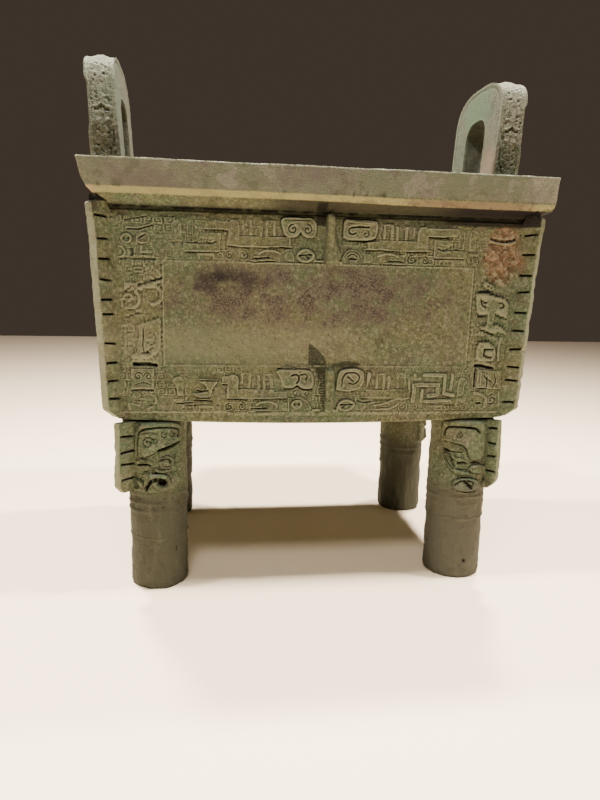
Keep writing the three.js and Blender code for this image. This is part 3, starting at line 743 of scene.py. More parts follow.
def wallHeights(turn, u, v, long):
    # relief of one face: spiral ground, dragons in both bands, masks in both columns, plain panel
    middle = 14.0 if turn == 0 else 0.0
    across = 507.0 if long else 351.0
    panelHalf = across - 134.0
    wobbleU = u + 1.6 * lumps(u, v, 0.0, 34.0, turn) + 0.7 * lumps(u, v, 2.0, 9.0, turn + 1.1)
    wobbleV = v + 1.6 * lumps(u, v, 0.0, 30.0, turn + 7.3) + 0.7 * lumps(u, v, 4.0, 9.0, turn + 3.1)
    band = stepUp(812, 818, v) + stepDown(567, 573, v)
    column = stepUp(panelHalf - 2, panelHalf + 5, np.abs(u))
    carved = np.clip(band + column, 0, 1)
    carved *= stepDown(across - 38, across - 30, np.abs(u))
    ragged = 911 + 4.0 * lumps(u, v, 1.0, 26.0, turn + 4.0) + 9.0 * (np.abs(u - middle) < 128)
    carved *= stepUp(454, 459, v) * stepDown(ragged, ragged + 3, v)
    art = Carving(wobbleU, wobbleV)
    faint = np.clip(0.75 + 0.9 * lumps(u, v, 7.0, 30.0, turn + 5.0), 0.1, 1.2)
    art.height = 1.15 * faint * thunderGround(wobbleU + 3, wobbleV - 4, 23.0, 19.0, 1.55)
    stretch = 1.0 if long else (panelHalf - 14 - 120) / (366 - 120)
    for side in (-1, 1):
        for foot in (815.0, belly["bandFoot"]):
            dragonHalf(art, middle, side, foot, stretch)
        if turn == 0 and side > 0:
            art.clear((386, 456), (482, 924), 0.7)
            frontRightColumn(art)
        else:
            uprightColumn(art, side * (across - 79), -side)
    if turn == 0:
        frontDetails(art)
    worn = 0.95 + 0.30 * lumps(u, v, 5.0, 70.0, turn + 3.0) + 0.25 * lumps(u, v, 5.0, 22.0, turn + 6.0)
    height = 1.45 * art.height * carved * np.clip(worn, 0.35, 1.3)
    # thin raised lines round the panel, and a plain border below
    edge = np.maximum(np.abs(u) - panelHalf, np.maximum(v - 815, 573 - v))
    height += 2.0 * stepDown(1.0, 3.6, np.abs(edge - 1)) * (0.7 + 0.5 * lumps(u, v, 6.0, 40.0, turn + 2.0))
    height -= 1.2 * stepDown(1.0, 3.6, np.abs(edge - 5.5)) * (column > 0.5)
    foot = np.where(u < -225, 458.0, 455.0)
    height += 1.8 * stepDown(1.0, 3.2, np.abs(v - foot)) * (np.abs(u) < across - 30)
    # the plain panel is a little uneven, and the whole face is pitted
    calm = 1 - np.clip(carved, 0, 1)
    height += calm * (0.9 * lumps(u, v, 0.0, 55.0, 2.2) + 0.4 * lumps(u, v, 0.0, 14.0, 4.4))
    height += 0.45 * lumps(u, v, 0.0, 7.0, 9.1) + 0.35 * lumps(u, v, 0.0, 3.6, 5.7)
    height -= 1.2 * stepUp(0.55, 0.9, lumps(u, v, 3.0, 5.2, 8.3))
    # the fins' slots run on a little way across the face
    for side in (-1, 1):
        rightHand = turnedTo(turn, side * across, 351.0 if long else 507.0, 0.0)[0] > 0
        strip = stepUp(across - 21, across - 19, side * u) * stepDown(across - 10, across - 8, side * u)
        for level in cornerFin["rightSlots" if rightHand else "leftSlots"]:
            height -= 5.5 * strip * stepDown(1.2, 3.0, np.abs(v - level + 0.06 * (side * u - across)))
    if turn == 0:
        # lumpy corrosion has eaten the carving at the upper right
        out = np.hypot((u - 448) / 50, (v - 853) / 72)
        rough = stepDown(0.75, 1.15, out + 0.25 * lumps(u, v, 0.0, 20.0, 1.7))
        crust = 3.0 * lumps(u, v, 0.0, 17.0, 6.6) + 2.6 * lumps(u, v, 0.0, 8.0, 8.6) - 1.5
        crust += 1.6 * lumps(u, v, 0.0, 4.2, 2.6)
        brow = 883 + 0.006 * (u - 446) ** 2
        crust -= 3.8 * stepDown(1.5, 5.0, np.abs(v - brow)) * (np.abs(u - 444) < 34)
        crust += 2.6 * stepDown(1.5, 4.0, np.abs(v - brow + 7)) * (np.abs(u - 444) < 34)
        height = height * (1 - rough) + crust * rough
    return height


def wallPiece(name, turn, low, high, columnStep, bandStep, panelStep):
    # slab with a carved outer face from one height to another, mitred at the corners, closed by a flat back
    long = turn % 180 == 0
    across = belly["topAcross"] if long else belly["topDepth"]
    u = np.linspace(-across, across, int(2 * across / columnStep) + 1)
    v = np.concatenate([np.arange(445, 577, bandStep), np.arange(577, 694, panelStep), [694.0],
                        np.arange(694 + panelStep, 811, panelStep), np.arange(811, 924.5, bandStep), [925.0]])
    v = v[(v >= low) & (v <= high)]
    U, V = np.meshgrid(u, v)
    height = wallHeights(turn, U, V, long)
    height *= stepDown(across - 12, across - 5, np.abs(U))
    height *= stepUp(445, 449, V) * stepDown(920, 925, V)
    hollow = hollowness(height) - 0.02 * np.clip(height - 1.5, 0, 6)
    # the strip under the rim lies in its shade
    hollow += 0.46 * stepUp(908, 917, V)
    # the outer columns close up towards the bottom, where the belly is narrower
    inner = across - 28
    narrow = (bellyHalf(V, long) - inner) / 28
    x = np.where(np.abs(U) > inner, np.sign(U) * (inner + (np.abs(U) - inner) * narrow), U)
    sag = belly["sag"] * (1 - (U / across) ** 2)
    z = V - sag * np.clip((458 - V) / 13, 0, 1)
    out = bellyHalf(V, not long) + height

    def row(inset, drop, base):
        # an extra row: set back and lowered from a row of the face
        return x[base] * (1 - inset / across), out[base] - height[base] - inset, z[base] - drop

    below = [row(16.0, 4.6, 0), row(5.0, 4.4, 0), row(1.4, 2.4, 0)] if low < 446 else [row(16.0, 0.0, 0)]
    above = [row(16.0, 0.0, -1)]
    if high > 924:
        above = [row(3.0, -3.0, -1), row(9.0, -4.4, -1), row(16.0, -5.0, -1)]
    x, out, z = [np.vstack([[r[i] for r in below], body, [r[i] for r in above]])
                 for i, body in enumerate((x, out, z))]
    hollow = np.pad(hollow, ((len(below), len(above)), (0, 0)), mode="edge")
    # one more column at each end goes back along the mitre
    for end in (0, -1):
        sideX = x[:, end] - np.sign(x[:, end]) * belly["slab"]
        sideOut = bellyHalf(np.clip(z[:, end], 445, 925), not long) - belly["slab"]
        sideOut[:1], sideOut[-1:] = out[:1, end], out[-1:, end]
        sideX[:1], sideX[-1:] = x[:1, end] * 0.9999, x[-1:, end] * 0.9999
        place = 0 if end == 0 else x.shape[1]
        x, out = np.insert(x, place, sideX, axis=1), np.insert(out, place, sideOut, axis=1)
        z = np.insert(z, place, z[:, end], axis=1)
        hollow = np.insert(hollow, place, hollow[:, end], axis=1)
    shell = Shell()
    index = shell.sheet(turnedTo(turn, x, out, z), hollow)
    border = np.concatenate([index[0, :-1], index[:-1, -1], index[-1, :0:-1], index[:0:-1, 0]])
    shell.cap(border, turned=True)
    return shell.piece(name, vesselBronze, "vessel_bronze", "vessel")


total = wallPiece("belly_front_lower", 0, 445.0, belly["middle"], 1.65, 1.65, 4.0)
total += wallPiece("belly_front_upper", 0, belly["middle"], 925.0, 1.65, 1.65, 4.0)
total += wallPiece("belly_back", 180, 445.0, 925.0, 3.2, 3.0, 5.0)
total += wallPiece("belly_right", 90, 445.0, 925.0, 2.9, 2.8, 4.8)
total += wallPiece("belly_left", 270, 445.0, 925.0, 2.9, 2.8, 4.8)


# The inside of the belly, and its underside

def cornerRound(halfX, halfY, radius, counts, arc=6):
    # one turn round a rectangle with rounded corners, anticlockwise from the front left;
    # counts are the steps along a long and a short side
    xs, ys = [], []
    corners = [(1, -1), (1, 1), (-1, 1), (-1, -1)]
    for i, (cx, cy) in enumerate(corners):
        count = counts[i % 2]
        share = np.linspace(-1, 1, count, endpoint=False)
        px, py = corners[i - 1]
        sx = share if px != cx else np.full(count, cx)
        sy = share if py != cy else np.full(count, cy)
        if px > cx or py > cy:
            sx = -share if px != cx else sx
            sy = -share if py != cy else sy
        flatX, flatY = halfX - radius, halfY - radius
        xs.append(np.where(px != cx, sx * flatX, sx * halfX))
        ys.append(np.where(py != cy, sy * flatY, sy * halfY))
        start = [-pi / 2, 0, pi / 2, pi][i]
        angle = start + np.linspace(0, pi / 2, arc, endpoint=False)
        xs.append(cx * flatX + radius * np.cos(angle))
        ys.append(cy * flatY + radius * np.sin(angle))
    return np.concatenate(xs), np.concatenate(ys)


def bowlPiece():
    # levels of rectangles from the middle of the hollow's floor, up its walls,
    # down inside the outer slabs and back under the belly to the middle
    levels = [(k, belly["floor"] + 1.5 * (1 - k), "floor") for k in (0.02, 0.2, 0.4, 0.6, 0.8, 0.93, 1.0)]
    levels += [(None, z, "wall") for z in np.linspace(476, 926, 22)]
    levels += [(None, z, "hidden") for z in (926, 700, 452)]
    levels += [(k, 441.0, "under") for k in (1.0, 0.8, 0.6, 0.4, 0.2, 0.02)]
    rows = []
    for k, z, part in levels:
        thick = belly["wall"] if part in ("floor", "wall") else 12.0
        height = max(z, 445.0) if part != "floor" else belly["floor"]
        halfX, halfY = bellyHalf(height, True) - thick, bellyHalf(height, False) - thick
        if k is not None:
            halfX, halfY = halfX * k, halfY * k
        x, y = cornerRound(halfX, halfY, min(14.0, halfY * 0.4), (44, 30))
        level = np.full(x.shape, z)
        if part == "under" or z == 452:
            level = z - belly["sag"] * (1 - np.minimum(1, np.maximum(np.abs(x) / 487, np.abs(y) / 331)) ** 2)
        rows.append(np.stack([x, y, level], -1))
    grid = np.array(rows)
    rough = 1.6 * lumps(grid[..., 0], grid[..., 1], grid[..., 2], 60.0, 3.1)
    grid[1:28, :, 2] += rough[1:28] * 0.5
    shell = Shell()
    index = shell.sheet(grid, None, closed=True, turned=True)
    shell.cap(index[0])
    shell.cap(index[-1], turned=True)
    return shell.piece("belly_hollow", vesselBronze, "vessel_bronze", "vessel")


total += bowlPiece()

# Rim: one profile carried round the mouth

rim = {
    "halfLength": vesselHigh.x / mm, "halfWidth": vesselHigh.y / mm, "top": vesselHigh.z / mm,
    "profile": [
        (62, 921), (52, 921), (50.5, 926), (50.5, 933), (51, 936.5), (48, 939), (36, 946), (24, 952),
        (21, 954.5), (18.5, 957.5), (16, 962), (14, 967.5), (13, 970), (12, 973), (8, 992), (5, 1006),
        (2.2, 1022), (0.6, 1030), (1.2, 1032.4), (4, 1033), (20, 1033), (40, 1033), (60, 1033), (70, 1033),
        (72.4, 1032), (73.4, 1029), (73, 1010), (73, 980), (73, 950), (73, 921)],
}


def rimPiece():
    # insets and heights of the profile, each a rounded rectangle round the mouth
    rows = []
    for inset, z in rim["profile"]:
        x, y = cornerRound(rim["halfLength"] - inset, rim["halfWidth"] - inset, 5.0, (230, 90), 5)
        # the foot of the band stands further right at both ends than its top does
        level = np.array(float(z))
        lean = np.where(x < 0, 13 - 13 * stepUp(955, 984, level) - 2, 20 - 13 * stepUp(955, 1028, level))
        lean = lean * stepUp(330, 553, np.abs(x))
        hold = stepDown(46, 50, np.array(inset))
        rows.append(np.stack([x + lean * hold, y, np.full(x.shape, z)], -1))
    grid = np.array(rows)
    x, y, z = grid[..., 0], grid[..., 1], grid[..., 2]
    away = np.hypot(x, y)
    visible = stepUp(940, 950, z)
    wave = 1.5 * lumps(x, y, z, 120.0, 5.5) + 0.8 * lumps(x, y, z, 26.0, 8.5)
    wave += 0.35 * lumps(x, y, z, 9.0, 1.5)
    nick = stepUp(0.45, 0.85, lumps(x, y, z, 15.0, 2.9)) * stepDown(6, 16, np.abs(z - 972))
    inward = np.clip(wave - 1.2, -3.0, 0.0) - 2.4 * nick
    grid[..., 0] += x / away * inward * visible
    grid[..., 1] += y / away * inward * visible
    lowered = np.clip(wave - 1.0, -2.6, 0.0) * stepUp(1020, 1031, z)
    grid[..., 2] += lowered + 1.1 * wave * (np.abs(z - 958) < 8)
    shell = Shell()
    # painted shade under the rim band: full just under the slope, lighter on the neck below
    shade = 0.56 + 0.44 * stepUp(931.5, 933.5, z)
    shade = shade * stepDown(937.5, 940.5, z)
    hollow = np.clip(0.9 * nick + 0.25 * lumps(x, y, z, 12.0, 7.7) + shade, -1, 1)
    shell.sheet(grid, hollow, closed=True, looped=True)
    return shell.piece("rim", vesselBronze, "vessel_bronze", "vessel")


total += rimPiece()


# Fins

def plateFin(shell, origin, turn, levels, shape, slots, slotDepth, seed, taper=0.0, pale=0.55):
    # upright plate: at each level a loop runs from the root out along one side,
    # round the outer edge and back; slots sink both sides between root and edge
    side = np.concatenate([np.linspace(0, 0.86, 13), [0.92, 0.965]])
    z = np.array(levels, float)
    root, reach, half, shift = [np.broadcast_to(part, z.shape)[:, None] for part in shape(z)]
    share = np.concatenate([side, [1.0, 1.0], side[::-1]])[None, :]
    way = np.concatenate([np.full(len(side), -1.0), [-0.62, 0.62], np.full(len(side), 1.0)])[None, :]
    across = half * way * np.where(share > 0.95, 0.88, 1.0) * (1 - taper * share ** 3)
    out = root + (reach - root) * share
    cut = np.zeros(out.shape)
    for level, (low, high), rise in slots:
        near = 1 - stepUp(1.7, 3.4, np.abs(z[:, None] - level - rise * (out - low)))
        within = stepUp(low - 2, low + 1, out) * stepDown(high - 1, high + 2, out)
        cut = np.maximum(cut, near * within * (np.abs(way) > 0.8))
    c, s = cos(turn), sin(turn)
    x = origin[0] + out * c - across * s
    y = origin[1] + out * s + across * c
    wear = 0.6 * lumps(x, y, z[:, None], 24.0, seed) + 0.5 * lumps(x, y, z[:, None], 8.0, seed + 2)
    bite = stepUp(0.25, 0.75, lumps(x, y, z[:, None], 15.0, seed + 5)) * (share > 0.9) * 2.6
    out = out + np.where(share > 0.8, wear * 1.8 - bite, 0)
    across = across * (1 - cut * slotDepth / half) + way * wear * (share > 0.05) * (1 - cut) + shift
    grid = np.stack([origin[0] + out * c - across * s, origin[1] + out * s + across * c,
                     np.broadcast_to(z[:, None], out.shape)], -1)
    # slots are painted dark as shade; the outer edge is laid paler
    hollow = cut * 1.3 + 0.3 * wear - pale * (share > 0.93) + 0 * out
    # whatever reaches up under the rim is in its shade
    hollow = hollow + 1.4 * stepUp(939, 943, z[:, None])
    index = shell.sheet(grid, np.clip(hollow, -1, 1), closed=True)
    shell.cap(index[0], turned=True)
    shell.cap(index[-1])


def finLevels(low, high, slots, coarse=6.0, extra=()):
    # heights close together at each slot's two edges, further apart between
    levels = np.arange(low, high, coarse)
    if len(slots):
        marks = np.array(slots, float)
        levels = levels[np.min(np.abs(levels[:, None] - marks), axis=1) > 6.5]
        steps = np.array([-5.4, -3.9, -2.9, -2.0, -1.0, 0, 1.0, 2.0, 2.9, 3.9, 5.4])
        levels = np.concatenate([levels, (marks[:, None] + steps).ravel()])
    levels = np.unique(np.concatenate([levels, [low, high], list(extra)]))
    return levels[(levels >= low) & (levels <= high)]


def cornerFinPiece(name, signX, signY, seed):
    levels = cornerFin["leftSlots" if signX < 0 else "rightSlots"]

    def setBack(z):
        return (925 - z) * (20 / 480) * 2 ** 0.5

    def shape(z):
        # above the belly the plate's back edge climbs clear of the neck
        root = cornerFin["root"] - setBack(z) + 6.0 * stepUp(922, 938, z)
        flare = cornerFin["flare"] * stepUp(880, 932, z) - 14.0 * stepUp(937, 942, z)
        foot = cornerFin["chamfer"] * np.clip((468 - z) / 21, 0, 1)
        return root, cornerFin["reach"] - setBack(z) + flare - foot, cornerFin["half"], 0.0

    slots = []
    for i, level in enumerate(levels):
        reach = float(shape(np.array(float(level)))[1])
        slots.append((level, (-2.0 - float(setBack(level)), reach - 7.0), 0.0 if i % 3 else 0.10))
    shell = Shell()
    extra = (449.0, 452.0, 936.0, 938.5, 941.0, 943.0)
    heights = finLevels(cornerFin["bottom"], cornerFin["top"], levels, 6.0, extra)
    plateFin(shell, (signX * 507.0, signY * 351.0), np.arctan2(signY, signX), heights, shape, slots,
             cornerFin["slotDepth"], seed)
    return shell.piece(name, vesselBronze, "vessel_bronze", "vessel")


total += cornerFinPiece("corner_fin_front_left", -1, -1, 1.0)
total += cornerFinPiece("corner_fin_front_right", 1, -1, 2.0)
total += cornerFinPiece("corner_fin_back_left", -1, 1, 3.0)
total += cornerFinPiece("corner_fin_back_right", 1, 1, 4.0)

middleFin = {"half": 11.5, "reach": 22.0, "upper": (809.0, 933.0), "lower": (449.0, 569.0), "shift": 14.0}


def middleFinsPiece():
    # the upper fin of each face swells into a snout near its foot; the lower one is a plain bar
    shell = Shell()
    for turn in (0, 90, 180, 270):
        long = turn % 180 == 0
        for low, high in (middleFin["upper"], middleFin["lower"]):
            depth = float(bellyHalf((low + high) / 2, not long))
            front = 1.0 if turn == 0 else 0.0

            def shape(z):
                lean = bellyHalf(z, not long) - depth
                ends = 16.0 * stepDown(low - 6, low + 12, z) + 10.0 * stepUp(high - 10, high + 2, z)
                swell = np.exp(-((z - 840) / 22) ** 2)
                half = middleFin["half"] + 11.0 * swell + 2.0 * (z < 600)
                half = half * (0.35 + 0.65 * np.sqrt(np.clip((z - low) / 14, 0, 1)))
                half = half * (0.5 + 0.5 * np.sqrt(np.clip((high - z) / 9, 0, 1)))
                shift = front * np.where(z > 700, 7.0 * swell, 12.0)
                return lean - 8.0, middleFin["reach"] + lean - ends - 8.0 * (z < 600), half, shift

            origin = turnedTo(turn, front * middleFin["shift"], depth, 0.0)
            heights = finLevels(low, high, (), 3.5, (low + 1, low + 2, low + 5, high - 5, high - 2, high - 1))
            plateFin(shell, origin[:2], radians(turn - 90), heights, shape, [], 0.0,
                     turn / 30 + low / 400, 0.5, 0.15)
    return shell.piece("middle_fins", vesselBronze, "vessel_bronze", "vessel")


total += middleFinsPiece()

# Legs

leg = {"x": 398.0, "y": 262.0, "radius": 72.0, "top": 449.0, "leftLow": 256.0, "rightLow": 236.0,
       "high": 431.0, "thick": 7.0, "rings": (203.0, 224.0, 247.0)}


def leftMask(art):
    # beside the fin of a left leg: a horn that loops back over a slit, an eye, and a scrolled snout
    art.plate([12, 345, 12, 404, 26, 432, 75, 434, 122, 429, 135, 411, 127, 386, 96, 376, 74, 368,
        50, 352], 4.4, 2.2)
    art.groove([18, 346, 18, 400, 30, 416, 72, 423, 116, 417, 123, 404, 116, 396], 5.0, 3.6, True)
    art.groove([70, 364, 98, 371, 124, 382], 8.0, 5.6, True)
    art.ridge([72, 374, 98, 381, 118, 394], 3.4, 1.6, True)
    art.curl((84, 403), 9, 90, 1.2, 3.2, 2.0)
    art.curl((104, 403), 9, 90, 1.2, 3.2, 2.0)
    art.curl((46, 384), 16, 30, 1.4, 3.4, 1.8)
    art.groove([28, 404, 48, 410, 66, 408], 3.0, 1.4, True)
    art.curl((62, 388), 9, 200, -1.2, 3.0, 1.5)
    art.groove([17, 325, 34, 329, 53, 326], 5.0, 4.4, True)
    art.ridge([14, 334, 34, 341, 56, 334], 4.0, 2.0, True)
    art.groove([34, 311, 42, 311], 4.4, 3.2)
    art.ridge([26, 304, 38, 300, 52, 306], 4.0, 1.6, True)
    art.plate([70, 334, 76, 346, 94, 350, 108, 340, 108, 324, 92, 316, 76, 320], 3.2, 2.2)
    art.groove([74, 339, 84, 343, 96, 341, 98, 333], 4.4, 3.4, True)
    art.groove([78, 326, 90, 322, 100, 326], 3.0, 1.6, True)
    art.bar([60, 318, 74, 310, 98, 312, 114, 326, 116, 352], 6, 3.2, 2.0, True)
    for i in range(4):
        art.ridge([(92 + 7 * i, 290 + 2 * i), (98 + 7 * i, 302 + 2 * i)], 3.2, 1.6)
    # snout: swelling lobes round a deep round hollow with a sweeping cut beside it
    art.plate([46, 304, 66, 306, 92, 300, 100, 284, 90, 270, 72, 264, 60, 270, 52, 284], 7.0, 4.0)
    art.groove([77, 283, 80, 283], 21.0, 15.0)
    art.groove([72, 292, 58, 292, 48, 284, 38, 268, 32, 258], 10.0, 7.0, True)
    art.plate([2, 262, 4, 286, 20, 292, 32, 282, 28, 264, 16, 258], 5.0, 3.0)
    art.curl((16, 274), 9, 90, 1.4, 3.2, 2.4)


def rightMask(art):
    # beside the fin of a right leg: a squared horn over a slit, an eye, and a hook-ended snout
    art.plate([24, 404, 30, 426, 46, 434, 86, 436, 126, 432, 137, 416, 137, 396, 130, 388, 130, 376,
        104, 370, 80, 362, 60, 330, 22, 334], 4.0, 2.2)
    art.groove([128, 394, 125, 409, 112, 416, 80, 417, 52, 415, 42, 404], 6.0, 5.0, True)
    art.groove([128, 377, 104, 372, 82, 370, 70, 356, 66, 334], 3.8, 3.4, True)
    art.ridge([126, 384, 104, 379, 84, 378], 3.4, 1.4, True)
    art.curl((92, 396), 9, 90, 1.3, 3.0, 1.6)
    art.groove([126, 354, 112, 349, 100, 346, 82, 350, 71, 338], 6.0, 5.0, True)
    art.plate([124, 345, 118, 316, 106, 300, 88, 290, 58, 290, 60, 298, 84, 300, 100, 310, 108, 324,
        112, 344], 4.6, 2.0)
    art.groove([120, 338, 112, 316, 98, 304, 66, 303], 3.4, 2.6, True)
    art.bar([104, 340, 96, 330, 78, 332], 7, 3.0, 2.0, True)
    art.groove([92, 321, 78, 323, 70, 321], 5.0, 4.4, True)
    art.groove([58, 322, 44, 325, 34, 320], 5.0, 4.0, True)
    art.plate([62, 306, 58, 316, 40, 318, 16, 312, 12, 300, 28, 294, 52, 296], 6.0, 3.4)
    art.groove([56, 309, 40, 310, 24, 304], 2.8, 1.4)
    art.plate([102, 262, 96, 276, 76, 282, 48, 280, 32, 268, 36, 252, 60, 244, 90, 248], 5.4, 3.0)
    art.groove([94, 264, 80, 274, 60, 276, 48, 268, 56, 258, 66, 262], 4.4, 3.6, True)
    art.groove([70, 271, 60, 264, 54, 254], 6.5, 6.0)
    art.ridge([100, 256, 84, 244, 60, 240, 40, 244], 3.4, 1.8, True)
    art.plate([14, 252, -6, 256, -6, 272, 8, 276, 20, 266], 5.0, 3.0)
    art.curl((5, 263), 8, 90, 1.2, 3.2, 2.2)


def legPiece(name, signX, signY, columns, maskStep, seed):
    # turned shaft: radius over an angle counted from the outer diagonal and a height
    left, front = signX < 0, signY < 0
    maskLow = leg["leftLow" if left else "rightLow"]
    fine = 3.2 if front else 6.0
    z = np.concatenate([[3.0, 6.0, 10.0, 15.0], np.arange(20, maskLow - 16, fine),
                        np.arange(maskLow - 16, 440, maskStep), [441.0, 445.0, leg["top"]]])
    outer = np.arctan2(signY, signX)
    turnTo = -1.0 if signX * signY > 0 else 1.0
    # w is the length round the leg from the fin, the same on both sides of it
    angle = np.linspace(-pi, pi, columns, endpoint=False)
    A, Z = np.meshgrid(angle, z)
    W, round70 = np.abs(A) * 80.0, A * 70.0
    wobble = 1.0 * lumps(W, Z, seed, 26.0) + 0.5 * lumps(W, Z, seed, 8.0)
    art = Carving(W + wobble, Z + wobble)
    art.height = 0.7 * thunderGround(W + wobble + 9, Z, 17.0, 15.0, 1.6)
    (leftMask if left else rightMask)(art)
    lowEdge = maskLow + (10 * ((W - 40) / 70) ** 2 if left else 11 * ((W - 70) / 62) ** 2)
    within = stepUp(lowEdge - 1, lowEdge + 3, Z + 2 * lumps(round70, Z, seed, 40.0))
    within *= stepDown(leg["high"] - 2, leg["high"] + 2, Z) * stepDown(137, 145, W + 4 * wobble)
    relief = (leg["thick"] + 1.7 * art.height * (0.9 + 0.3 * lumps(W, Z, seed, 30.0))) * within
    # rings under the mask, worn through in places
    for ring in leg["rings"]:
        level = ring + 2.5 * lumps(round70, 0.0, seed + ring, 50.0)
        strength = 1.8 + 2.6 * lumps(round70, ring, seed, 36.0)
        relief += np.clip(strength, 0.2, 4.0) * stepDown(1.6, 6.0, np.abs(Z - level)) * (1 - within)
    # ragged casting seam on the shaft, dents, upright scratches
    seam = 133 if left else 166
    seam = seam + 3.0 * lumps(round70, 3.0, seed, 22.0) + 1.5 * lumps(round70, 5.0, seed, 8.0)
    relief += 1.9 * stepDown(0.8, 3.6, np.abs(Z - seam)) * (lumps(round70, 1.0, seed, 34.0) > -0.3)
    relief -= 1.5 * stepUp(0, 3, seam - Z) * stepDown(10, 60, seam - Z)
    calm = 1 - within
    relief += calm * (2.2 * lumps(round70, Z, seed, 62.0, 2.0) + 1.3 * lumps(round70, Z, seed, 21.0, 5.0))
    relief += calm * 0.8 * lumps(round70 * 3.2, Z * 0.6, seed, 24.0, 8.0)
    relief += 0.45 * lumps(round70, Z, seed, 7.0, 5.0)
    relief -= 1.8 * stepUp(0.3, 0.75, lumps(round70, Z, seed, 12.0, 7.0)) * calm
    relief -= 1.2 * stepUp(0.5, 0.9, lumps(round70, Z, seed, 5.5, 3.0))
    # shadowed gap between the mask's upper edge and the belly
    gap = stepUp(431, 433, Z) * stepDown(118, 128, W)
    hollow = hollowness(relief) * (0.45 + 0.55 * within) - 0.045 * np.clip(art.height - 1.5, 0, 6) * within
    hollow = np.maximum(hollow, gap)
    relief -= 10.0 * stepUp(431, 434, Z)
    if front:
        # one small hole in the shaft, a slit on the left leg and a square on the right one
        holeW, holeZ, halfW, halfZ = (120.0, 102.0, 2.6, 6.0) if left else (55.0, 49.0, 4.0, 4.6)
        far = np.maximum(np.abs(A * 80.0 - holeW) / halfW, np.abs(Z - holeZ) / halfZ)
        hole = stepDown(0.8, 1.3, far)
        # the hole is painted dark inside, as shade
        relief, hollow = relief - 3.0 * hole, np.maximum(hollow, hole)
    radius = leg["radius"] + (3.5 if front and not left else 0.0) + relief - 4.0 * stepDown(0, 14, Z) ** 2
    direction = outer + turnTo * -A
    grid = np.stack([signX * leg["x"] + radius * np.cos(direction),
                     signY * leg["y"] + radius * np.sin(direction), Z], -1)
    if turnTo > 0:
        grid, hollow = grid[:, ::-1], hollow[:, ::-1]
    # the foot's flat underside
    under = grid[:1].copy()
    centre = np.array([signX * leg["x"], signY * leg["y"], 0.0])
    under[..., :2] = centre[:2] + (under[..., :2] - centre[:2]) * 0.96
    under[..., 2] = 0.0
    shell = Shell()
    hollow = np.pad(hollow, ((1, 0), (0, 0)), mode="edge")
    index = shell.sheet(np.concatenate([under, grid]), hollow, closed=True)
    shell.cap(index[0], turned=True)
    shell.cap(index[-1])
    return shell.piece(name, vesselBronze, "vessel_bronze", "vessel")


total += legPiece("leg_front_left", -1, -1, 224, 2.0, 11.0)
total += legPiece("leg_front_right", 1, -1, 224, 2.0, 23.0)
total += legPiece("leg_back_left", -1, 1, 130, 3.4, 37.0)
total += legPiece("leg_back_right", 1, 1, 130, 3.4, 41.0)

legFin = {"half": 10.0, "leftLow": 262.0, "rightLow": 250.0, "high": 433.0,
          "leftReach": 132.0, "rightReach": 117.0,
          "leftSlots": [295, 329, 362, 398], "rightSlots": [298, 336, 372, 411]}


def legFinsPiece():
    shell = Shell()
    for signX in (-1, 1):
        hand = "left" if signX < 0 else "right"
        low, tip, slots = legFin[hand + "Low"], legFin[hand + "Reach"], legFin[hand + "Slots"]

        def shape(z):
            foot = 15.0 * stepDown(low - 3, low + 17, z)
            foot = foot + 10.0 * stepDown(low, low + 40, z) * (signX > 0)
            return 58.0, tip - foot - 3.0 * stepUp(280, 438, z), legFin["half"], 0.0

        for signY in (-1, 1):
            cuts = [(level, (84.0, tip - 9.0), 0.08 if i % 2 else -0.04) for i, level in enumerate(slots)]
            heights = finLevels(low, legFin["high"], slots, 6.0, (low + 1, low + 2.5, low + 6))
            plateFin(shell, (signX * leg["x"], signY * leg["y"]), np.arctan2(signY, signX), heights, shape,
                     cuts, 5.5, 3.0 * signX + signY + 9)
    return shell.piece("leg_fins", vesselBronze, "vessel_bronze", "vessel")


total += legFinsPiece()

# Ears

ear = {
    "inner": 482.0, "foot": 1031.5, "thick": 76.0, "topThick": 70.0, "lean": 0.064, "height": 1330.0,
    "footHalf": 155.0, "shoulderHalf": 166.0, "shoulder": 1215.0,
    "openHalf": 70.0, "openTop": 1239.0, "openShoulder": 1184.0,
    "pits": [(62, 14, 5.5), (98, 12, 4.5), (186, 13, 5.0), (228, 11, 5.0), (244, 16, 4.0), (258, 7, 3.5)],
}


def archPath(half, footHalf, shoulder, top, roundness, share):
    # up one side, over a rounded arch and down the other; share runs from 0 to 1
    sideShare = 0.3
    angle = (np.clip(share, sideShare, 1 - sideShare) - sideShare) / (1 - 2 * sideShare) * pi
    c, s = np.cos(pi - angle), np.sin(angle)
    y = half * np.sign(c) * np.abs(c) ** (2 / roundness)
    z = shoulder + (top - shoulder) * np.abs(s) ** (2 / roundness)
    low = np.minimum(share, 1 - share) / sideShare
    straight = low < 1
    rise = np.clip(low, 0, 1)
    y = np.where(straight, np.sign(share - 0.5) * (footHalf + (half - footHalf) * stepUp(0.1, 0.75, rise)), y)
    z = np.where(straight, ear["foot"] + (shoulder - ear["foot"]) * rise, z)
    return y, z


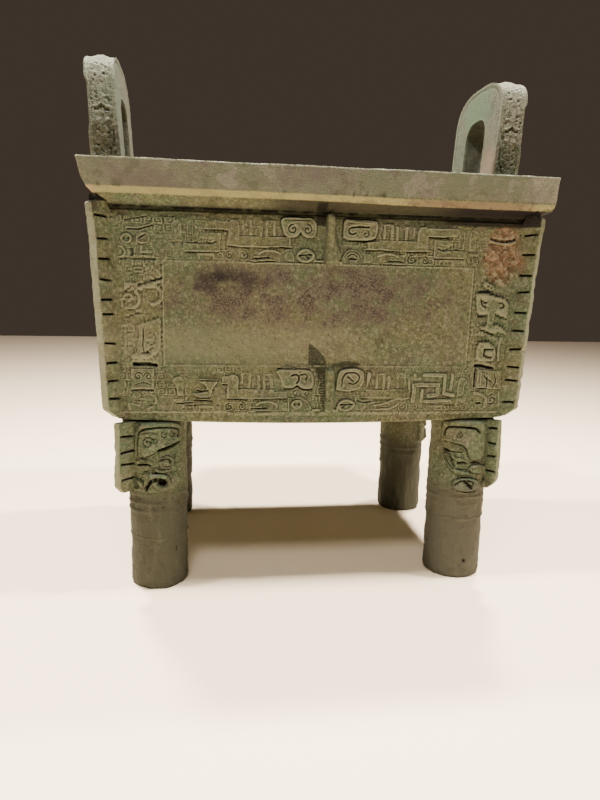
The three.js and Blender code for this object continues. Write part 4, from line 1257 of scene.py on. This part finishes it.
def edgeRelief(s, d):
    # pitted band along the ear's edge face: s runs up from the foot, d across it from -1 to 1;
    # plain borders, pairs of deep pits, a notched brow with two bosses under it
    border = stepUp(0.70, 0.78, np.abs(d))
    u = d * 36
    skew = s + 1.5 * lumps(s, u, 0.0, 12.0, 1.9)
    worn = 1.1 * lumps(s, u, 0.0, 9.0, 3.3) + 1.2 * lumps(s, u, 4.0, 5.0, 6.1)
    worn -= 2.6 * stepUp(0.15, 0.65, lumps(s, u, 8.0, 5.6, 2.4))
    worn -= 1.4 * stepUp(0.2, 0.7, lumps(s, u, 9.0, 3.8, 5.4))
    height = (1 - border) * (worn - 0.8) + 1.3 * border
    for level, spread, size in ear["pits"]:
        for side in (-1, 1):
            place = level + 3.0 * side * (1 if level % 4 else -1)
            away = np.hypot((skew - place) * 1.2, (u - side * spread) * 0.85)
            height -= 4.6 * stepDown(size * 0.25, size, away)
            height += 1.6 * stepDown(1.0, 4.0, np.hypot(skew - place - size - 2, u - side * spread))
    for side in (-1, 1):
        height += 3.0 * stepDown(2.0, 7.0, np.hypot(skew - 124, u - 11 * side))
    brow = skew - 148 - 7 * np.exp(-(u / 6) ** 2)
    height -= 5.5 * stepDown(1.8, 4.6, np.abs(brow)) * (np.abs(u) < 19)
    height += 2.4 * stepDown(1.0, 4.0, np.abs(brow - 6)) * (np.abs(u) < 21)
    height += 1.4 * stepDown(4.0, 8.0, np.abs(u)) * stepUp(152, 160, s) * stepDown(190, 205, s)
    return height


def tigerRelief(y, z):
    # outer face: two beasts in profile, upright and face to face under the arch
    art = Carving(np.abs(y), z)
    art.height = 1.0 * thunderGround(np.abs(y) + 4, z, 19.0, 17.0, 1.5)
    art.bar([112, 1050, 112, 1120, 122, 1180, 110, 1236, 84, 1262], 26, 4.0, 3.0, True)
    art.plate([14, 1258, 10, 1280, 24, 1290, 14, 1304, 46, 1314, 80, 1304, 98, 1274, 84, 1252, 56,
        1256, 40, 1264], 6.0, 3.0)
    art.groove([14, 1282, 40, 1285, 58, 1276], 4.0, 4.0, True)
    art.eye((56, 1296), 9, 7, 7.0, 2.0)
    art.curl((80, 1288), 9, 0, 1.3, 3.4, 2.6)
    art.bar([112, 1120, 88, 1130, 84, 1112, 94, 1106], 9, 3.6, 2.4, True)
    art.bar([110, 1216, 88, 1206, 82, 1222, 92, 1232], 9, 3.6, 2.4, True)
    art.bar([112, 1056, 136, 1060, 140, 1094, 130, 1104], 9, 3.4, 2.4, True)
    art.groove([112, 1064, 112, 1122, 121, 1180, 110, 1228, 92, 1252], 4.0, 2.0, True)
    for z0 in (1090, 1150, 1178, 1206):
        art.curl((118, z0), 8, 0, 1.3, 3.0, 1.6)
    return art.height


def earPiece(name, side):
    # sections across the arch, each a loop over the edge face, the outer face,
    # the opening and the inner face
    share = np.linspace(0, 1, 350)
    outY, outZ = archPath(ear["shoulderHalf"], ear["footHalf"], ear["shoulder"], ear["height"], 3.0, share)
    inY, inZ = archPath(ear["openHalf"], ear["openHalf"], ear["openShoulder"], ear["openTop"], 2.6, share)
    edge, face, gap = np.linspace(0, 1, 35), np.linspace(0, 1, 26), np.linspace(0, 1, 10)
    # k runs from the outer outline (0) to the opening (1), d from the inner face (0) to the outer face (1)
    k = np.concatenate([edge * 0, face[1:], 1 + gap[1:] * 0, face[-2:0:-1]])
    d = np.concatenate([edge, 1 + face[1:] * 0, 1 - gap[1:], face[-2:0:-1] * 0])
    K = np.meshgrid(k, share)[0]
    D = np.broadcast_to(d[None, :], K.shape)
    y = outY[:, None] * (1 - K) + inY[:, None] * K
    z = outZ[:, None] * (1 - K) + inZ[:, None] * K
    thick = ear["thick"] + (ear["topThick"] - ear["thick"]) * stepUp(1033, 1330, z)
    x = ear["inner"] + ear["lean"] * (z - 1033) + thick * D
    # distance along the outer outline from the nearer foot
    length = np.concatenate([[0], np.cumsum(np.hypot(np.diff(outY), np.diff(outZ)))])
    climb = np.minimum(length, length[-1] - length)[:, None] + 0 * K
    edgeFace = K < 0.001
    outerFace = (D > 0.999) & (K > 0.02) & (K < 0.98)
    innerFace = (D < 0.001) & (K > 0.02) & (K < 0.98)
    relief = np.where(edgeFace & (D > 0.001) & (D < 0.999), edgeRelief(climb, D * 2 - 1), 0.0)
    tiger = tigerRelief(y, z)
    # outward directions: away from the arch on the edge face, along x on the broad faces
    awayY, awayZ = np.gradient(outZ, share), -np.gradient(outY, share)
    size = np.hypot(awayY, awayZ)
    normalY, normalZ = -awayY / size, -awayZ / size
    rough = 0.6 * lumps(x, y, z, 26.0, side + 4.0) + 0.4 * lumps(x, y, z, 9.0, side + 6.0)
    strip = 1.2 * stepDown(0.10, 0.13, K) - 2.2 * stepDown(0.0, 0.035, np.abs(K - 0.15))
    strip = np.where(innerFace, strip, 0.0)
    x = x + np.where(outerFace, tiger - 4.0 + rough, 0.0) - np.where(innerFace, strip - 1.0 + rough, 0.0)
    relief = relief * 0.52
    push = np.where(edgeFace, relief - 1.0 + rough, 0.0)
    # corners of the section are rounded a little
    push = push - 2.0 * (edgeFace & ((D < 0.02) | (D > 0.98)))
    y = y + push * normalY[:, None]
    z = z + push * normalZ[:, None]
    # crowned top: the edge face swells in the middle over the arch
    crown = 7.0 * np.exp(-((D * 2 - 1) / 0.5) ** 2) * edgeFace * stepUp(1290, 1325, z)
    z = np.minimum(z - 6.0 * stepUp(1290, 1325, z) * edgeFace + crown, ear["height"])
    # in profile the heads on the outer face stand out above a step, and the body widens again lower down
    profile = -5.0 + 6.5 * stepUp(1236, 1254, z) + 4.0 * stepDown(1120, 1150, z)
    x = x + profile * stepUp(0.80, 0.95, D)
    height = np.where(outerFace, tiger, relief)
    hollow = hollowness(height) + strip * -0.35
    # painted shade, with some dark patina, on the faces of the opening
    jamb = stepUp(0.0, 0.10, D) * stepDown(0.90, 1.0, D) * (K > 0.99)
    hollow = np.clip(hollow + jamb * (0.75 + 0.30 * lumps(x, y, z, 22.0, side + 9.0)), -1, 0.9)
    grid = np.stack([side * x, y, z], -1)
    shell = Shell()
    index = shell.sheet(grid, hollow, closed=True, turned=side < 0)
    shell.cap(index[0], turned=side > 0)
    shell.cap(index[-1], turned=side < 0)
    node = "left_ear" if side < 0 else "right_ear"
    return shell.piece(name, earBronze, "ear_bronze", node)


total += earPiece("left_handle", -1)
total += earPiece("right_handle", 1)
print("triangles in all", total)

# Floor, light and camera

stage = {"size": 14.0, "floor": (0.93, 0.76, 0.55), "world": (1.0, 0.74, 0.56), "worldStrength": 0.055}
bpy.ops.mesh.primitive_plane_add(size=stage["size"], location=(0, 0, 0))
floor = bpy.context.object
floor.name = "floor"
floorPaint = Bench("paleFloor")
floorPaint.shader.inputs["Base Color"].default_value = (*stage["floor"], 1)
floorPaint.shader.inputs["Roughness"].default_value = 0.7
floor.data.materials.append(floorPaint.material)

world = bpy.data.worlds.new("softRoom")
bpy.context.scene.world = world
world.use_nodes = True
world.node_tree.nodes["Background"].inputs[0].default_value = (*stage["world"], 1)
world.node_tree.nodes["Background"].inputs[1].default_value = stage["worldStrength"]


def softLight(name, place, target, sides, power, tint):
    # rectangular area light that looks from its place at a target
    lamp = bpy.data.lights.new(name, "AREA")
    lamp.shape = "RECTANGLE"
    lamp.size, lamp.size_y, lamp.energy, lamp.color = *sides, power, tint
    holder = bpy.data.objects.new(name, lamp)
    bpy.context.scene.collection.objects.link(holder)
    back = Vector(place) - Vector(target)
    holder.rotation_mode = "QUATERNION"
    holder.rotation_quaternion = back.to_track_quat("Z", "Y")
    holder.location = place


for lampX in (-1.2, 1.2):
    for lampY in (-0.57, 0.76):
        softLight("spot", (lampX, lampY, 3.6), (0, 0, 0.4), (0.26, 0.26), 300.0, (1.0, 0.93, 0.84))
softLight("keyFront", (-0.5, -2.2, 3.8), (0, 0, 0.7), (0.7, 0.7), 84.0, (1.0, 0.95, 0.88))
softLight("fillRight", (3.0, -1.2, 2.2), (0, 0, 0.6), (2.2, 2.2), 9.0, (1.0, 0.93, 0.82))
softLight("fillLeft", (-3.0, -0.6, 2.2), (0, 0, 0.7), (2.2, 2.2), 8.0, (1.0, 0.93, 0.82))

viewer = {"place": (-0.270, -1.932, 0.777), "yaw": 0.139, "pitch": -0.178, "roll": 0.023, "lens": 29.82}
yaw, pitch, roll = viewer["yaw"], viewer["pitch"], viewer["roll"]
ahead = np.array([sin(yaw) * cos(pitch), cos(yaw) * cos(pitch), sin(pitch)])
level = np.array([cos(yaw), -sin(yaw), 0.0])
upright = np.cross(level, ahead)
right = cos(roll) * level + sin(roll) * upright
above = -sin(roll) * level + cos(roll) * upright
camera = bpy.data.objects.new("camera", bpy.data.cameras.new("camera"))
camera.data.lens, camera.data.sensor_width = viewer["lens"], 36.0
turnedFrame = Matrix(np.column_stack([right, above, -ahead]).tolist()).to_4x4()
camera.matrix_world = Matrix.Translation(viewer["place"]) @ turnedFrame
bpy.context.scene.collection.objects.link(camera)
bpy.context.scene.camera = camera
print("stage, light and camera set")
